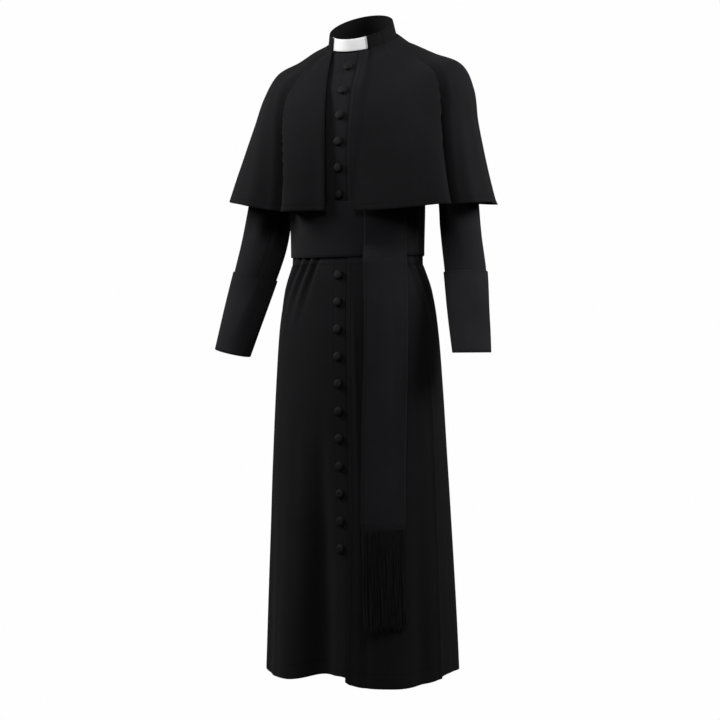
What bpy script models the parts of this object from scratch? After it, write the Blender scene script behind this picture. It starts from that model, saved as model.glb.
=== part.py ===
"""A cassock with its shoulder cape and fascia, worn and hollow, built as its cut pieces.

Metres, +Z up. The front faces -Y and the wearer's left is +X. The origin is the middle of the
neck opening, at the foot of the collar, which is where the wearer holds the garment up.
"""

import math

import bmesh
import bpy
import numpy as np
from mathutils import Vector

# Cloth and seams
CLOTH = 0.0016
CAPE_CLOTH = 0.0018
SEAM_GAP = 0.0003
ARMHOLE_GAP = 0.0014
LAP_RISE = 0.0024
LAP_REACH = 0.060
SKIRT_FLARE = 0.010

# Closure: the wearer's left front laps over the right one
BUTTON_TO_EDGE = 0.019
UNDERLAP = 0.042
BUTTON_RADIUS = 0.0100
BUTTON_HEIGHT = 0.0062
BUTTON_SHANK = 0.0014
BODICE_BUTTONS = 6
BODICE_FIRST_Z = -0.0638
SKIRT_BUTTONS = 11
SKIRT_FIRST_Z = -0.5166
BODICE_PITCH = 0.0563
SKIRT_PITCH = 0.0586

# Heights of the main lines
WAIST_Z = -0.489
HEM_Z = -1.375
CUFF_STEP = 0.0028
CUFF_LEVEL_DEG = 6.5

# Collar and its tab
COLLAR_CLOTH = 0.0024
TAB_CLOTH = 0.0012
TAB_FROM_DEG = -40.0
TAB_TO_DEG = 30.0

# Fascia
BAND_CLOTH = 0.0022
BAND_HEIGHT = 0.117
BAND_HALF = 0.1505
BAND_FRONT = 0.1310
BAND_BACK = 0.1200
BAND_SIDE_Y = -0.0160
BAND_TOP_Z = -0.352
BAND_FRONT_DIP = 0.009
TAIL_WIDTH = 0.1005
TAIL_DEG = 41.8
TAIL_CLOTH = 0.0020
TAIL_AIR = 0.0026
TAIL_TOP_Z = -0.362
TAIL_HALF_DEG = 19.9
TAIL_BOW = 0.004
TAIL_FREE = 0.045
TAIL_SHIFT = -0.024
BAND_REACH = 0.150
TAIL_END_Z = -1.040
FRINGE_END_Z = -1.258
FRINGE_CLOTH = 0.0045

BLACK = (0.012, 0.012, 0.0135)
FASCIA_BLACK = (0.011, 0.0115, 0.014)
BUTTON_BLACK = (0.020, 0.020, 0.023)
WHITE = (0.80, 0.80, 0.79)

# The body form under the bodice, ring by ring from the neck to the waist seam. Each ring is as
# wide as half to each side, where it lies at y = side, and runs from y = front to y = back
TORSO = [
    dict(half=0.075, front=-0.059, side=0.0165, back=0.092, z_front=-0.0305, z_side=0.007, z_back=0.044),
    dict(half=0.106, front=-0.072, side=0.033, back=0.106, z_front=-0.066, z_side=-0.008, z_back=0.022),
    dict(half=0.148, front=-0.101, side=0.048, back=0.12, z_front=-0.118, z_side=-0.03, z_back=-0.02),
    dict(half=0.18, front=-0.117, side=0.052, back=0.129, z_front=-0.17, z_side=-0.056, z_back=-0.075),
    dict(half=0.186, front=-0.125, side=0.046, back=0.133, z_front=-0.215, z_side=-0.108, z_back=-0.135),
    dict(half=0.18, front=-0.1285, side=0.03, back=0.131, z_front=-0.262, z_side=-0.18, z_back=-0.2),
    dict(half=0.165, front=-0.126, side=0.01, back=0.123, z_front=-0.31, z_side=-0.26, z_back=-0.27),
    dict(half=0.1462, front=-0.123, side=-0.012, back=0.111, z_front=-0.36, z_side=-0.34, z_back=-0.34),
    dict(half=0.145, front=-0.1235, side=-0.016, back=0.112, z_front=-0.432, z_side=-0.424, z_back=-0.425),
    dict(half=0.1465, front=-0.1245, side=-0.017, back=0.113, z_front=-0.489, z_side=-0.489, z_back=-0.489),
]

# The skirt, section by section from the waist seam down; share is the way from waist to hem
SKIRT = [
    dict(share=0.00, half=0.1475, front=-0.1260, side=-0.0170, back=0.1140, placket=0.0010),
    dict(share=0.06, half=0.1660, front=-0.1340, side=-0.0135, back=0.1260, placket=0.0025),
    dict(share=0.15, half=0.1790, front=-0.1430, side=-0.0100, back=0.1390, placket=0.0050),
    dict(share=0.30, half=0.1885, front=-0.1500, side=-0.0090, back=0.1500, placket=0.0095),
    dict(share=0.50, half=0.1970, front=-0.1560, side=-0.0085, back=0.1610, placket=0.0145),
    dict(share=0.65, half=0.2020, front=-0.1600, side=-0.0070, back=0.1700, placket=0.0180),
    dict(share=0.82, half=0.2075, front=-0.1640, side=-0.0060, back=0.1820, placket=0.0185),
    dict(share=1.00, half=0.2130, front=-0.1680, side=-0.0040, back=0.1960, placket=0.0175),
]

# The skirt's main folds: where round the body, how wide, how deep at the hem, where they begin
SKIRT_FOLDS = [
    dict(deg=-10, wide=17, deep=-0.0200, start=0.35),
    dict(deg=-36, wide=15, deep=0.0080, start=0.10),
    dict(deg=-62, wide=14, deep=-0.0070, start=0.30),
    dict(deg=34, wide=22, deep=0.0150, start=0.45),
    dict(deg=54, wide=9, deep=-0.0030, start=0.25),
    dict(deg=66, wide=10, deep=0.0030, start=0.20),
    dict(deg=80, wide=11, deep=-0.0030, start=0.30),
    dict(deg=104, wide=15, deep=0.0090, start=0.25),
    dict(deg=127, wide=13, deep=-0.0110, start=0.20),
    dict(deg=149, wide=15, deep=0.0120, start=0.10),
    dict(deg=172, wide=14, deep=-0.0120, start=0.15),
    dict(deg=197, wide=16, deep=0.0130, start=0.10),
    dict(deg=222, wide=14, deep=-0.0110, start=0.20),
    dict(deg=247, wide=15, deep=0.0090, start=0.25),
    dict(deg=272, wide=13, deep=-0.0060, start=0.30),
]

# The skirt's hem: where round the body it is lifted from its level, how wide and how much
HEM_LIFTS = [
    dict(deg=-8, wide=26, lift=0.014),
    dict(deg=-62, wide=40, lift=-0.009),
    dict(deg=88, wide=40, lift=0.008),
    dict(deg=38, wide=30, lift=-0.002),
    dict(deg=4, wide=11, lift=0.007),
]

# The cape from the neck to its hem, as the outer form that it hangs in
CAPE = [
    dict(half=0.0785, front=-0.063, side=0.0165, back=0.0965, z_front=-0.029, z_side=0.0115, z_back=0.048),
    dict(half=0.11, front=-0.08, side=0.034, back=0.112, z_front=-0.065, z_side=0.001, z_back=0.026),
    dict(half=0.158, front=-0.108, side=0.052, back=0.128, z_front=-0.115, z_side=-0.02, z_back=-0.012),
    dict(half=0.214, front=-0.127, side=0.063, back=0.142, z_front=-0.162, z_side=-0.043, z_back=-0.062),
    dict(half=0.24, front=-0.136, side=0.058, back=0.151, z_front=-0.205, z_side=-0.096, z_back=-0.115),
    dict(half=0.253, front=-0.14, side=0.043, back=0.156, z_front=-0.25, z_side=-0.165, z_back=-0.17),
    dict(half=0.27, front=-0.1425, side=0.03, back=0.159, z_front=-0.296, z_side=-0.232, z_back=-0.225),
    dict(half=0.287, front=-0.1445, side=0.018, back=0.161, z_front=-0.34, z_side=-0.292, z_back=-0.278),
    dict(half=0.304, front=-0.146, side=0.01, back=0.163, z_front=-0.382, z_side=-0.349, z_back=-0.328),
]
CAPE_EDGE_RIGHT = [-0.045, -0.044, -0.038, -0.032, -0.029, -0.027, -0.026, -0.025, -0.024]
CAPE_EDGE_LEFT = [0.044, 0.050, 0.053, 0.053, 0.052, 0.050, 0.047, 0.044, 0.041]
CAPE_HEM_TILT = 0.013
CAPE_HEM_DROP = 0.007
CAPE_SQUARE = 0.026

# The cape's folds: where round the body at the hem, how far they lean round it from there up,
# how wide they are, how deep at the hem, and the ring where they begin
CAPE_FOLDS = [
    dict(deg=43, lean=22, wide=12, deep=0.016, start=1.6),
    dict(deg=54, lean=22, wide=9, deep=-0.018, start=2.2),
    dict(deg=-18, lean=-38, wide=13, deep=0.014, start=1.8),
    dict(deg=-31, lean=-38, wide=11, deep=-0.020, start=2.2),
    dict(deg=122, wide=15, deep=-0.014, start=1.5),
    dict(deg=141, wide=11, deep=0.010, start=1.5),
    dict(deg=161, wide=11, deep=-0.008, start=2.2),
    dict(deg=182, wide=12, deep=0.008, start=2.2),
    dict(deg=203, wide=11, deep=-0.008, start=2.2),
    dict(deg=222, wide=11, deep=0.010, start=1.5),
    dict(deg=240, wide=15, deep=-0.014, start=1.5),
]

# Sleeve centreline and girth from inside the shoulder to the wrist, for the wearer's left. A
# ring leans by lean degrees, its longer way is across, turned forward at its outer end by
# twist degrees, and its front is lifted by pitch degrees. The left cuff is cut more level
# than the right one, by CUFF_LEVEL_DEG to each side of the table's lean
SLEEVE = [
    dict(x=0.130, y=0.050, z=-0.098, across=0.060, along=0.058, lean=62, twist=0, pitch=0),
    dict(x=0.160, y=0.050, z=-0.108, across=0.059, along=0.058, lean=52, twist=0, pitch=0),
    dict(x=0.184, y=0.047, z=-0.132, across=0.055, along=0.056, lean=34, twist=5, pitch=0),
    dict(x=0.198, y=0.040, z=-0.172, across=0.052, along=0.052, lean=18, twist=15, pitch=2),
    dict(x=0.208, y=0.033, z=-0.240, across=0.050, along=0.046, lean=9, twist=30, pitch=4),
    dict(x=0.219, y=0.020, z=-0.330, across=0.051, along=0.041, lean=8, twist=40, pitch=5),
    dict(x=0.231, y=0.004, z=-0.428, across=0.0515, along=0.040, lean=8, twist=40, pitch=4),
    dict(x=0.247, y=-0.016, z=-0.508, across=0.0485, along=0.0415, lean=7, twist=35, pitch=0),
    dict(x=0.262, y=-0.044, z=-0.594, across=0.0435, along=0.0400, lean=7, twist=20, pitch=0),
    dict(x=0.277, y=-0.071, z=-0.681, across=0.0380, along=0.0375, lean=7, twist=0, pitch=0),
]


def clear_scene():
    for obj in list(bpy.data.objects):
        bpy.data.objects.remove(obj, do_unlink=True)


def material(name, colour, roughness):
    mat = bpy.data.materials.new(name)
    mat.use_nodes = True
    shader = mat.node_tree.nodes["Principled BSDF"]
    shader.inputs["Base Color"].default_value = (*colour, 1.0)
    shader.inputs["Roughness"].default_value = roughness
    shader.inputs["Metallic"].default_value = 0.0
    return mat


def read(rows, key, at, by=None):
    """A column of a table at a place along it, through a smooth curve."""
    xs = [row[by] for row in rows] if by else list(range(len(rows)))
    ys = [row[key] for row in rows]
    i = min(max(int(np.searchsorted(xs, at, side="right")) - 1, 0), len(xs) - 2)
    span = xs[i + 1] - xs[i]
    t = (at - xs[i]) / span

    def slope(j):
        lo, hi = max(j - 1, 0), min(j + 1, len(xs) - 1)
        return (ys[hi] - ys[lo]) / (xs[hi] - xs[lo])

    a, b = slope(i) * span, slope(i + 1) * span
    d = ys[i + 1] - ys[i]
    return ys[i] + t * (a + t * ((3 * d - 2 * a - b) + t * (a + b - 2 * d)))


def bump(x, centre, wide):
    """A rounded rise from 0 to 1 and back, wide degrees to each side of the centre."""
    d = abs((x - centre + 180.0) % 360.0 - 180.0) / wide
    return 0.5 + 0.5 * math.cos(math.pi * d) if d < 1.0 else 0.0


def ease(t):
    t = min(max(t, 0.0), 1.0)
    return t * t * (3.0 - 2.0 * t)


def fold_push(folds, along, last, deg):
    """How far the folds of a table move a place out, growing from their start to the hem."""
    push = 0.0
    for fold in folds:
        reach = ease((along - fold["start"]) / (last - fold["start"]))
        centre = fold["deg"] + fold.get("lean", 0.0) * (1.0 - along / last) ** 2
        push += fold["deep"] * reach * bump(deg, centre, fold["wide"])
    return push


def ring_point(rows, at, deg):
    """A point on a form that wraps the shoulders: rings that are lower at the front."""
    half = read(rows, "half", at)
    front, side, back = (read(rows, key, at) for key in ("front", "side", "back"))
    z_front, z_side, z_back = (read(rows, key, at) for key in ("z_front", "z_side", "z_back"))
    turn = math.radians(deg)
    s, c = math.sin(turn), math.cos(turn)
    middle, depth = (front + back) / 2, (back - front) / 2
    end = z_front if c > 0 else z_back
    y = middle - depth * c + (side - middle) * s * s
    return Vector((half * s, y, z_side + (end - z_side) * abs(c) ** (1.0 + ease(at / 1.5))))


def skirt_point(share, deg):
    """A point on the skirt: its section with the folds laid over it."""
    half, front, side, back, placket = (
        read(SKIRT, key, share, "share") for key in ("half", "front", "side", "back", "placket")
    )
    turn = math.radians(deg)
    s, c = math.sin(turn), math.cos(turn)
    middle, depth = (front + back) / 2, (back - front) / 2
    out = Vector((s / half, -c / depth, 0.0)).normalized()
    lift = sum(hem["lift"] * bump(deg, hem["deg"], hem["wide"]) for hem in HEM_LIFTS)
    top = WAIST_Z - SEAM_GAP
    z = top + (HEM_Z + lift - top) * share
    y = middle - depth * c + (side - middle) * s * s
    here = Vector((half * s + placket * max(c, 0.0) ** 2, y, z))
    return here + out * fold_push(SKIRT_FOLDS, share, 1.0, deg)


def torso_point(at, deg):
    return ring_point(TORSO, at, deg)


def torso_rows():
    """Where along the bodice its rings lie: close together except below the fascia's top."""
    return spaced(0.0, 7.0, 9) + [8.0, 9.0]


def degrees_at_x(point, along, x):
    """The angle on a form's front half where it passes a given x."""
    low, high = -80.0, 80.0
    for _ in range(40):
        mid = (low + high) / 2
        if point(along, mid).x < x:
            low = mid
        else:
            high = mid
    return (low + high) / 2


def normal_at(point, along, deg):
    """The outward direction of a surface at a place on it."""
    step_along, step_deg = 0.02, 0.5
    down = point(along + step_along, deg) - point(along - step_along, deg)
    across = point(along, deg + step_deg) - point(along, deg - step_deg)
    return down.cross(across).normalized()


def add_object(name, bm, mat, smooth_deg=35.0):
    if bm.calc_volume(signed=True) < 0:
        bmesh.ops.reverse_faces(bm, faces=bm.faces)
    mesh = bpy.data.meshes.new(name)
    bm.to_mesh(mesh)
    bm.free()
    mesh.shade_smooth()
    mesh.set_sharp_from_angle(angle=math.radians(smooth_deg))
    mesh.materials.append(mat)
    obj = bpy.data.objects.new(name, mesh)
    bpy.context.scene.collection.objects.link(obj)
    return obj


def wall(name, grid, thick, mat, closed=False, lift=0.0):
    """A cloth wall: the grid of points and directions, moved out by lift, is its outer face."""
    bm = bmesh.new()
    out_v = [[bm.verts.new(p + n * lift) for p, n in row] for row in grid]
    in_v = [[bm.verts.new(p + n * (lift - thick)) for p, n in row] for row in grid]
    rows, cols = len(grid), len(grid[0])
    last = cols if closed else cols - 1
    faces = []
    for i in range(rows - 1):
        for j in range(last):
            k = (j + 1) % cols
            faces.append((out_v[i][j], out_v[i + 1][j], out_v[i + 1][k], out_v[i][k]))
            faces.append((in_v[i][j], in_v[i][k], in_v[i + 1][k], in_v[i + 1][j]))
    for j in range(last):
        k = (j + 1) % cols
        faces.append((out_v[0][j], out_v[0][k], in_v[0][k], in_v[0][j]))
        faces.append((out_v[-1][j], in_v[-1][j], in_v[-1][k], out_v[-1][k]))
    if not closed:
        for i in range(rows - 1):
            faces.append((out_v[i][0], in_v[i][0], in_v[i + 1][0], out_v[i + 1][0]))
            faces.append((out_v[i][-1], out_v[i + 1][-1], in_v[i + 1][-1], in_v[i][-1]))
    for face in faces:
        bm.faces.new(face)
    return add_object(name, bm, mat)


def plug(name, grid, lift):
    """A closed solid that fills a form, kept as a cutter and left out of the model."""
    bm = bmesh.new()
    rings = [[bm.verts.new(p + n * lift) for p, n in row] for row in grid]
    for a, b in zip(rings, rings[1:]):
        for j in range(len(a)):
            k = (j + 1) % len(a)
            bm.faces.new((a[j], b[j], b[k], a[k]))
    bm.faces.new(rings[0])
    bm.faces.new(rings[-1][::-1])
    bmesh.ops.triangulate(bm, faces=[f for f in bm.faces if len(f.verts) > 4])
    obj = add_object(name, bm, material(name, WHITE, 0.5))
    obj.hide_render = True
    obj.display_type = "WIRE"
    return obj


def cut(obj, cutter):
    mod = obj.modifiers.new("cut_" + cutter.name, "BOOLEAN")
    mod.operation = "DIFFERENCE"
    mod.solver = "EXACT"
    mod.object = cutter


def spaced(first, last, count):
    return [first + (last - first) * i / (count - 1) for i in range(count)]


def panel_grid(point, alongs, first_deg, last_deg, cols):
    """Rows of points and directions between two edges, each edge half a seam gap short."""
    grid = []
    for along in alongs:
        a = first_deg(along) if callable(first_deg) else first_deg
        b = last_deg(along) if callable(last_deg) else last_deg
        degs = spaced(a, b, cols)
        row = [point(along, deg) for deg in degs]
        row[0] += (row[1] - row[0]).normalized() * SEAM_GAP / 2
        row[-1] += (row[-2] - row[-1]).normalized() * SEAM_GAP / 2
        grid.append([(p, normal_at(point, along, deg)) for p, deg in zip(row, degs)])
    return grid


def tube_grid(point, alongs, count):
    """Closed rings of points and directions down a tube."""
    degs = [360.0 * j / count for j in range(count)]
    return [[(point(at, deg), normal_at(point, at, deg)) for deg in degs] for at in alongs]


def lapped(point, edge_deg, rise):
    """The left front's surface: it stands off the right front near its edge."""

    def place(along, deg):
        here = point(along, deg)
        step = 0.5
        across = point(along, deg + step) - point(along, deg - step)
        out = Vector((across.y, -across.x, 0.0)).normalized()
        far = (here - point(along, edge_deg(along))).length
        return here + out * rise * (1.0 - ease((far - UNDERLAP) / LAP_REACH))

    return place


def build_bodice(cloth, arm_plugs):
    rows = torso_rows()

    def edge(along):
        return degrees_at_x(torso_point, along, BUTTON_TO_EDGE)

    def under(along):
        return degrees_at_x(torso_point, along, BUTTON_TO_EDGE + UNDERLAP * 0.5)

    left_point = lapped(torso_point, edge, LAP_RISE)
    pieces = [
        wall("bodice_front_right", panel_grid(torso_point, rows, -90, under, 10), CLOTH, cloth),
        wall("bodice_front_left", panel_grid(left_point, rows, edge, 90, 9), CLOTH, cloth),
        wall("bodice_back_left", panel_grid(torso_point, rows, 90, 180, 8), CLOTH, cloth),
        wall("bodice_back_right", panel_grid(torso_point, rows, 180, 270, 8), CLOTH, cloth),
    ]
    for piece in pieces:
        cut(piece, arm_plugs["left" if "left" in piece.name else "right"])


def skirt_edge(share):
    """Where round the skirt the left front's edge runs."""
    x = read(SKIRT, "placket", share, "share") + BUTTON_TO_EDGE
    return degrees_at_x(skirt_point, share, x)


def skirt_under(share):
    """Where the right front ends, under the left one."""
    x = read(SKIRT, "placket", share, "share") + BUTTON_TO_EDGE + UNDERLAP * 0.5
    return degrees_at_x(skirt_point, share, x)


def skirt_left_point(share, deg):
    flare = SKIRT_FLARE * ease((share - 0.4) / 0.6)
    return lapped(skirt_point, skirt_edge, LAP_RISE + flare)(share, deg)


def build_skirt(cloth):
    rows = [0.0, 0.04, 0.09, 0.15, 0.23, 0.33, 0.45, 0.58, 0.72, 0.86, 1.0]
    right = panel_grid(skirt_point, rows, -90, skirt_under, 17)
    left = panel_grid(skirt_left_point, rows, skirt_edge, 90, 15)
    wall("skirt_front_right", right, CLOTH, cloth)
    wall("skirt_front_left", left, CLOTH, cloth)
    wall("skirt_back_left", panel_grid(skirt_point, rows, 90, 180, 15), CLOTH, cloth)
    wall("skirt_back_right", panel_grid(skirt_point, rows, 180, 270, 15), CLOTH, cloth)


def sleeve_form(side, grow):
    """The sleeve's surface, square to its centreline as it leans out from the body."""

    def place(at, deg):
        x, y, z = (read(SLEEVE, key, at) for key in ("x", "y", "z"))
        across, along = (read(SLEEVE, key, at) + grow for key in ("across", "along"))
        level = -side * CUFF_LEVEL_DEG * ease((at - 5.0) / 2.0)
        tilt = math.radians(read(SLEEVE, "lean", at) + level)
        twist, pitch = (math.radians(read(SLEEVE, key, at)) for key in ("twist", "pitch"))
        turn = math.radians(deg * side)
        outward = Vector((math.cos(tilt), 0.0, math.sin(tilt)))
        forward = Vector((0.0, -math.cos(pitch), math.sin(pitch)))
        u = outward * math.cos(twist) + forward * math.sin(twist)
        v = forward * math.cos(twist) - outward * math.sin(twist)
        p = Vector((x, y, z)) + u * across * math.sin(turn) + v * along * math.cos(turn)
        p.x *= side
        return p

    return place


def build_sleeve(tag, side, cloth, torso_plug):
    """The top and under sleeve down to the wrist, and the deep cuff turned up over their end."""
    count = 16
    last = len(SLEEVE) - 1.0
    cuff_rows = spaced(last - 2.0, last, 4)
    sleeve_rows = spaced(0.0, last - 2.0, 8) + cuff_rows[1:-1] + [last - 0.05]
    arm = sleeve_form(side, 0.0)
    for part, middle in (("top", 90.0 * side), ("under", -90.0 * side)):
        half = panel_grid(arm, sleeve_rows, middle - 90.0, middle + 90.0, count // 2 + 1)
        cut(wall(f"sleeve_{part}_{tag}", half, CLOTH, cloth), torso_plug)
    cuff = tube_grid(sleeve_form(side, CUFF_STEP), cuff_rows, count)
    wall("cuff_" + tag, cuff, CLOTH * 1.3, cloth, closed=True)
    inner = tube_grid(sleeve_form(side, -CLOTH), spaced(0.0, 4.0, 6), count)
    return plug("arm_space_" + tag, inner, 0.0)


def cape_point(at, deg):
    """The cape's form, squared off over the arms, with its folds."""
    here = ring_point(CAPE, at, deg)
    turn = math.radians(deg)
    s, c = math.sin(turn), math.cos(turn)
    last = len(CAPE) - 1.0
    square = CAPE_SQUARE * ease((at - 1.0) / 5.0) * (2 * s * c) ** 2
    push = square + fold_push(CAPE_FOLDS, at, last, deg)
    drop = CAPE_HEM_TILT * s * ease(at / last) + CAPE_HEM_DROP * bump(deg, -26, 24) * ease(at / last)
    return here + Vector((s * push, -c * push, -drop))


def build_cape(cloth):
    rows = spaced(0.0, len(CAPE) - 1.0, 10)

    def edge_of(xs):
        table = [dict(x=x) for x in xs]
        return lambda at: degrees_at_x(cape_point, at, read(table, "x", at))

    right, left = edge_of(CAPE_EDGE_RIGHT), edge_of(CAPE_EDGE_LEFT)
    wall("cape_left", panel_grid(cape_point, rows, left, 180, 27), CAPE_CLOTH, cloth)
    wall("cape_right", panel_grid(cape_point, rows, -180, right, 27), CAPE_CLOTH, cloth)


def collar_point(up, deg):
    """The stand collar: it leans in and forward, and is lowest in front."""
    turn = math.radians(deg)
    s, c = math.sin(turn), math.cos(turn)
    radius = 0.0748 - 0.0060 * up
    middle = 0.0165 - 0.0085 * up
    y = middle - radius * c
    base = 0.0085 + (y - middle) * 0.50
    top = 0.0400 + (y - middle) * 0.60
    return Vector((radius * s, y, base + (top - base) * up))


def build_collar(cloth, white):
    levels = [1.0, 0.5, 0.035]
    ring = panel_grid(collar_point, levels, TAB_TO_DEG, 360 + TAB_FROM_DEG, 25)
    wall("collar", ring, COLLAR_CLOTH, cloth, lift=COLLAR_CLOTH / 2)
    inside = [0.97, 0.5, 0.06]
    tab = panel_grid(collar_point, inside, TAB_FROM_DEG - 8, TAB_TO_DEG + 8, 12)
    wall("collar_tab", tab, TAB_CLOTH, white, lift=-COLLAR_CLOTH / 2 - SEAM_GAP)


def band_point(share, deg):
    """The fascia band round the waist, a little lower in front than at the sides."""
    turn = math.radians(deg)
    s, c = math.sin(turn), math.cos(turn)
    spread = 0.0010 * math.cos(math.pi * share)
    depth = BAND_FRONT if c > 0 else BAND_BACK
    y = -(depth + spread) * c + BAND_SIDE_Y * s * s
    top = BAND_TOP_Z - BAND_FRONT_DIP * max(c, 0.0)
    return Vector(((BAND_HALF + spread) * s, y, top - BAND_HEIGHT * share))


def build_fascia(cloth):
    rows = spaced(0.0, 1.0, 3)
    wall("fascia_band", tube_grid(band_point, rows, 36), BAND_CLOTH, cloth, closed=True)
    build_tail(cloth)


def tail_axes():
    """Along the tail's width, and straight out from the body at its middle."""
    turn = math.radians(TAIL_DEG)
    across = Vector((math.cos(turn), math.sin(turn), 0.0))
    return across, Vector((math.sin(turn), -math.cos(turn), 0.0))


def tail_shift(z):
    return TAIL_SHIFT * ease((TAIL_TOP_Z - z) / 0.75)


def tail_reach(z):
    """How far out the tail hangs at a height: plumb from the fullest part of the skirt above."""
    across, out = tail_axes()
    reach = BAND_REACH
    for share in spaced(0.0, 1.0, 21):
        if WAIST_Z + (HEM_Z - WAIST_Z) * share < z - 0.02:
            break
        for deg in spaced(10.0, 75.0, 14):
            p = skirt_left_point(share, deg)
            u = (p.dot(across) - tail_shift(z)) / (TAIL_WIDTH / 2)
            if abs(u) < 1.15:
                reach = max(reach, p.dot(out) + TAIL_BOW * u * u)
    return reach + TAIL_CLOTH + TAIL_AIR


def tail_grid(heights, spread):
    """The tail as a strip that hugs the band at its top and hangs flatter below."""
    across, out = tail_axes()
    stand = TAIL_CLOTH + 2 * SEAM_GAP
    reaches = [tail_reach(z) for z in heights]

    def place(row, deg):
        row = min(max(row, 0.0), len(heights) - 1.0)
        z = float(np.interp(row, range(len(heights)), heights))
        reach = float(np.interp(row, range(len(heights)), reaches))
        u = deg / 90.0
        round_deg = TAIL_DEG + u * TAIL_HALF_DEG
        on_band = band_point(0.0, round_deg) + normal_at(band_point, 0.0, round_deg) * stand
        on_band.z = z
        hanging = out * (reach - TAIL_BOW * u * u)
        hanging += across * (tail_shift(z) + u * TAIL_WIDTH / 2 * spread)
        hanging.z = z
        free = ease((TAIL_TOP_Z - BAND_HEIGHT * 0.75 - z) / TAIL_FREE)
        return on_band * (1.0 - free) + hanging * free

    return panel_grid(place, [float(i) for i in range(len(heights))], -90.0, 90.0, 7)


def build_tail(cloth):
    on_band = spaced(TAIL_TOP_Z, TAIL_TOP_Z - BAND_HEIGHT, 3)
    below = spaced(on_band[-1] - 0.03, TAIL_END_Z, 9)
    wall("fascia_tail", tail_grid(on_band + below, 1.0), TAIL_CLOTH, cloth)
    fringe = tail_grid(spaced(TAIL_END_Z - SEAM_GAP, FRINGE_END_Z, 3), 0.96)
    wall("fascia_fringe", fringe, FRINGE_CLOTH, cloth, lift=FRINGE_CLOTH - TAIL_CLOTH)


def build_button(name, place, out, mat):
    """A cloth-covered button: a low dome on a flat foot, its axis square to the cloth."""
    steps, sides = 2, 10
    u = Vector((1.0, 0.0, 0.0))
    u = (u - out * u.dot(out)).normalized()
    v = out.cross(u)
    bm = bmesh.new()
    rings = []
    profile = [(0.90, 0.0), (1.0, 0.28)]
    for i in range(1, steps + 1):
        a = math.pi / 2 * i / (steps + 1)
        profile.append((math.cos(a), 0.28 + 0.72 * math.sin(a)))
    for radius, height in profile:
        ring = []
        for j in range(sides):
            turn = 2 * math.pi * j / sides
            side = u * math.cos(turn) + v * math.sin(turn)
            ring.append(bm.verts.new(place + side * BUTTON_RADIUS * radius + out * BUTTON_HEIGHT * height))
        rings.append(ring)
    for a, b in zip(rings, rings[1:]):
        for j in range(sides):
            k = (j + 1) % sides
            bm.faces.new((a[j], a[k], b[k], b[j]))
    bm.faces.new(rings[0][::-1])
    top = bm.verts.new(place + out * BUTTON_HEIGHT)
    for j in range(sides):
        bm.faces.new((rings[-1][j], rings[-1][(j + 1) % sides], top))
    add_object(name, bm, mat, 60.0)


def along_for_z(point, z, low, high, deg):
    for _ in range(40):
        mid = (low + high) / 2
        if point(mid, deg).z > z:
            low = mid
        else:
            high = mid
    return (low + high) / 2


def build_buttons(mat):
    number = 0
    for i in range(BODICE_BUTTONS):
        number += 1
        at = along_for_z(torso_point, BODICE_FIRST_Z - BODICE_PITCH * i, 0.03, 8.9, 0.0)
        here, out = torso_point(at, 0.0), normal_at(torso_point, at, 0.0)
        build_button(f"button_{number:02d}", here + out * BUTTON_SHANK, out, mat)
    for i in range(SKIRT_BUTTONS):
        number += 1
        share = (SKIRT_FIRST_Z - SKIRT_PITCH * i - WAIST_Z) / (HEM_Z - WAIST_Z)
        deg = degrees_at_x(skirt_point, share, read(SKIRT, "placket", share, "share"))
        here, out = skirt_point(share, deg), normal_at(skirt_point, share, deg)
        build_button(f"button_{number:02d}", here + out * BUTTON_SHANK, out, mat)


def build():
    clear_scene()
    cloth = material("black wool cloth", BLACK, 0.85)
    fascia = material("black fascia cloth", FASCIA_BLACK, 0.75)
    buttons = material("covered button cloth", BUTTON_BLACK, 0.70)
    white = material("white collar tab", WHITE, 0.55)
    body = tube_grid(torso_point, torso_rows(), 32)
    torso_plug = plug("torso_space", body, ARMHOLE_GAP)
    arm_plugs = {
        "left": build_sleeve("left", 1, cloth, torso_plug),
        "right": build_sleeve("right", -1, cloth, torso_plug),
    }
    build_bodice(cloth, arm_plugs)
    build_skirt(cloth)
    build_cape(cloth)
    build_collar(cloth, white)
    build_fascia(fascia)
    build_buttons(buttons)


build()
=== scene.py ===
import math

import bpy
import numpy as np
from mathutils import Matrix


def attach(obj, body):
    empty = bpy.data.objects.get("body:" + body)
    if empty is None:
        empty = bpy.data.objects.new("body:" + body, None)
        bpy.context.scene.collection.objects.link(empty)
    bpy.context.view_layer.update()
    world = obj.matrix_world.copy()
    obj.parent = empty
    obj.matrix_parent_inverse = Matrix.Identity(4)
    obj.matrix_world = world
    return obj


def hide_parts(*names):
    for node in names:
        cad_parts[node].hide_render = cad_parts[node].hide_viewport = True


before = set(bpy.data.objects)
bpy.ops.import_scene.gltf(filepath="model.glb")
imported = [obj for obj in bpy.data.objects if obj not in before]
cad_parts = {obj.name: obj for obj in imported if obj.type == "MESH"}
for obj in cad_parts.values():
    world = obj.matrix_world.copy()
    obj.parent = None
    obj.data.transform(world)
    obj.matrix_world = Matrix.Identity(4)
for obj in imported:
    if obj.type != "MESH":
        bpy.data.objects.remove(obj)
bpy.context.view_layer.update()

# Bodice. Black plain-woven wool, cut as two fronts and two half backs over a full chest. The
# panels are seamed at the sides, the shoulders and the middle of the back, the armholes are
# cut out of them, and the wearer's left front laps over the right one and is topstitched.
CLOTH = 0.0016
SEAM_GAP = 0.0001
BUTTON_TO_EDGE = 0.019
UNDERLAP = 0.021
LAP_RISE = 0.0024
LAP_FROM = 0.042
LAP_REACH = 0.060
ARMHOLE_GAP = 0.0014


def table(columns, *rows):
    """A table's rows, each with its values under the names of the columns."""
    return [dict(zip(columns.split(), row)) for row in rows]


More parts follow.
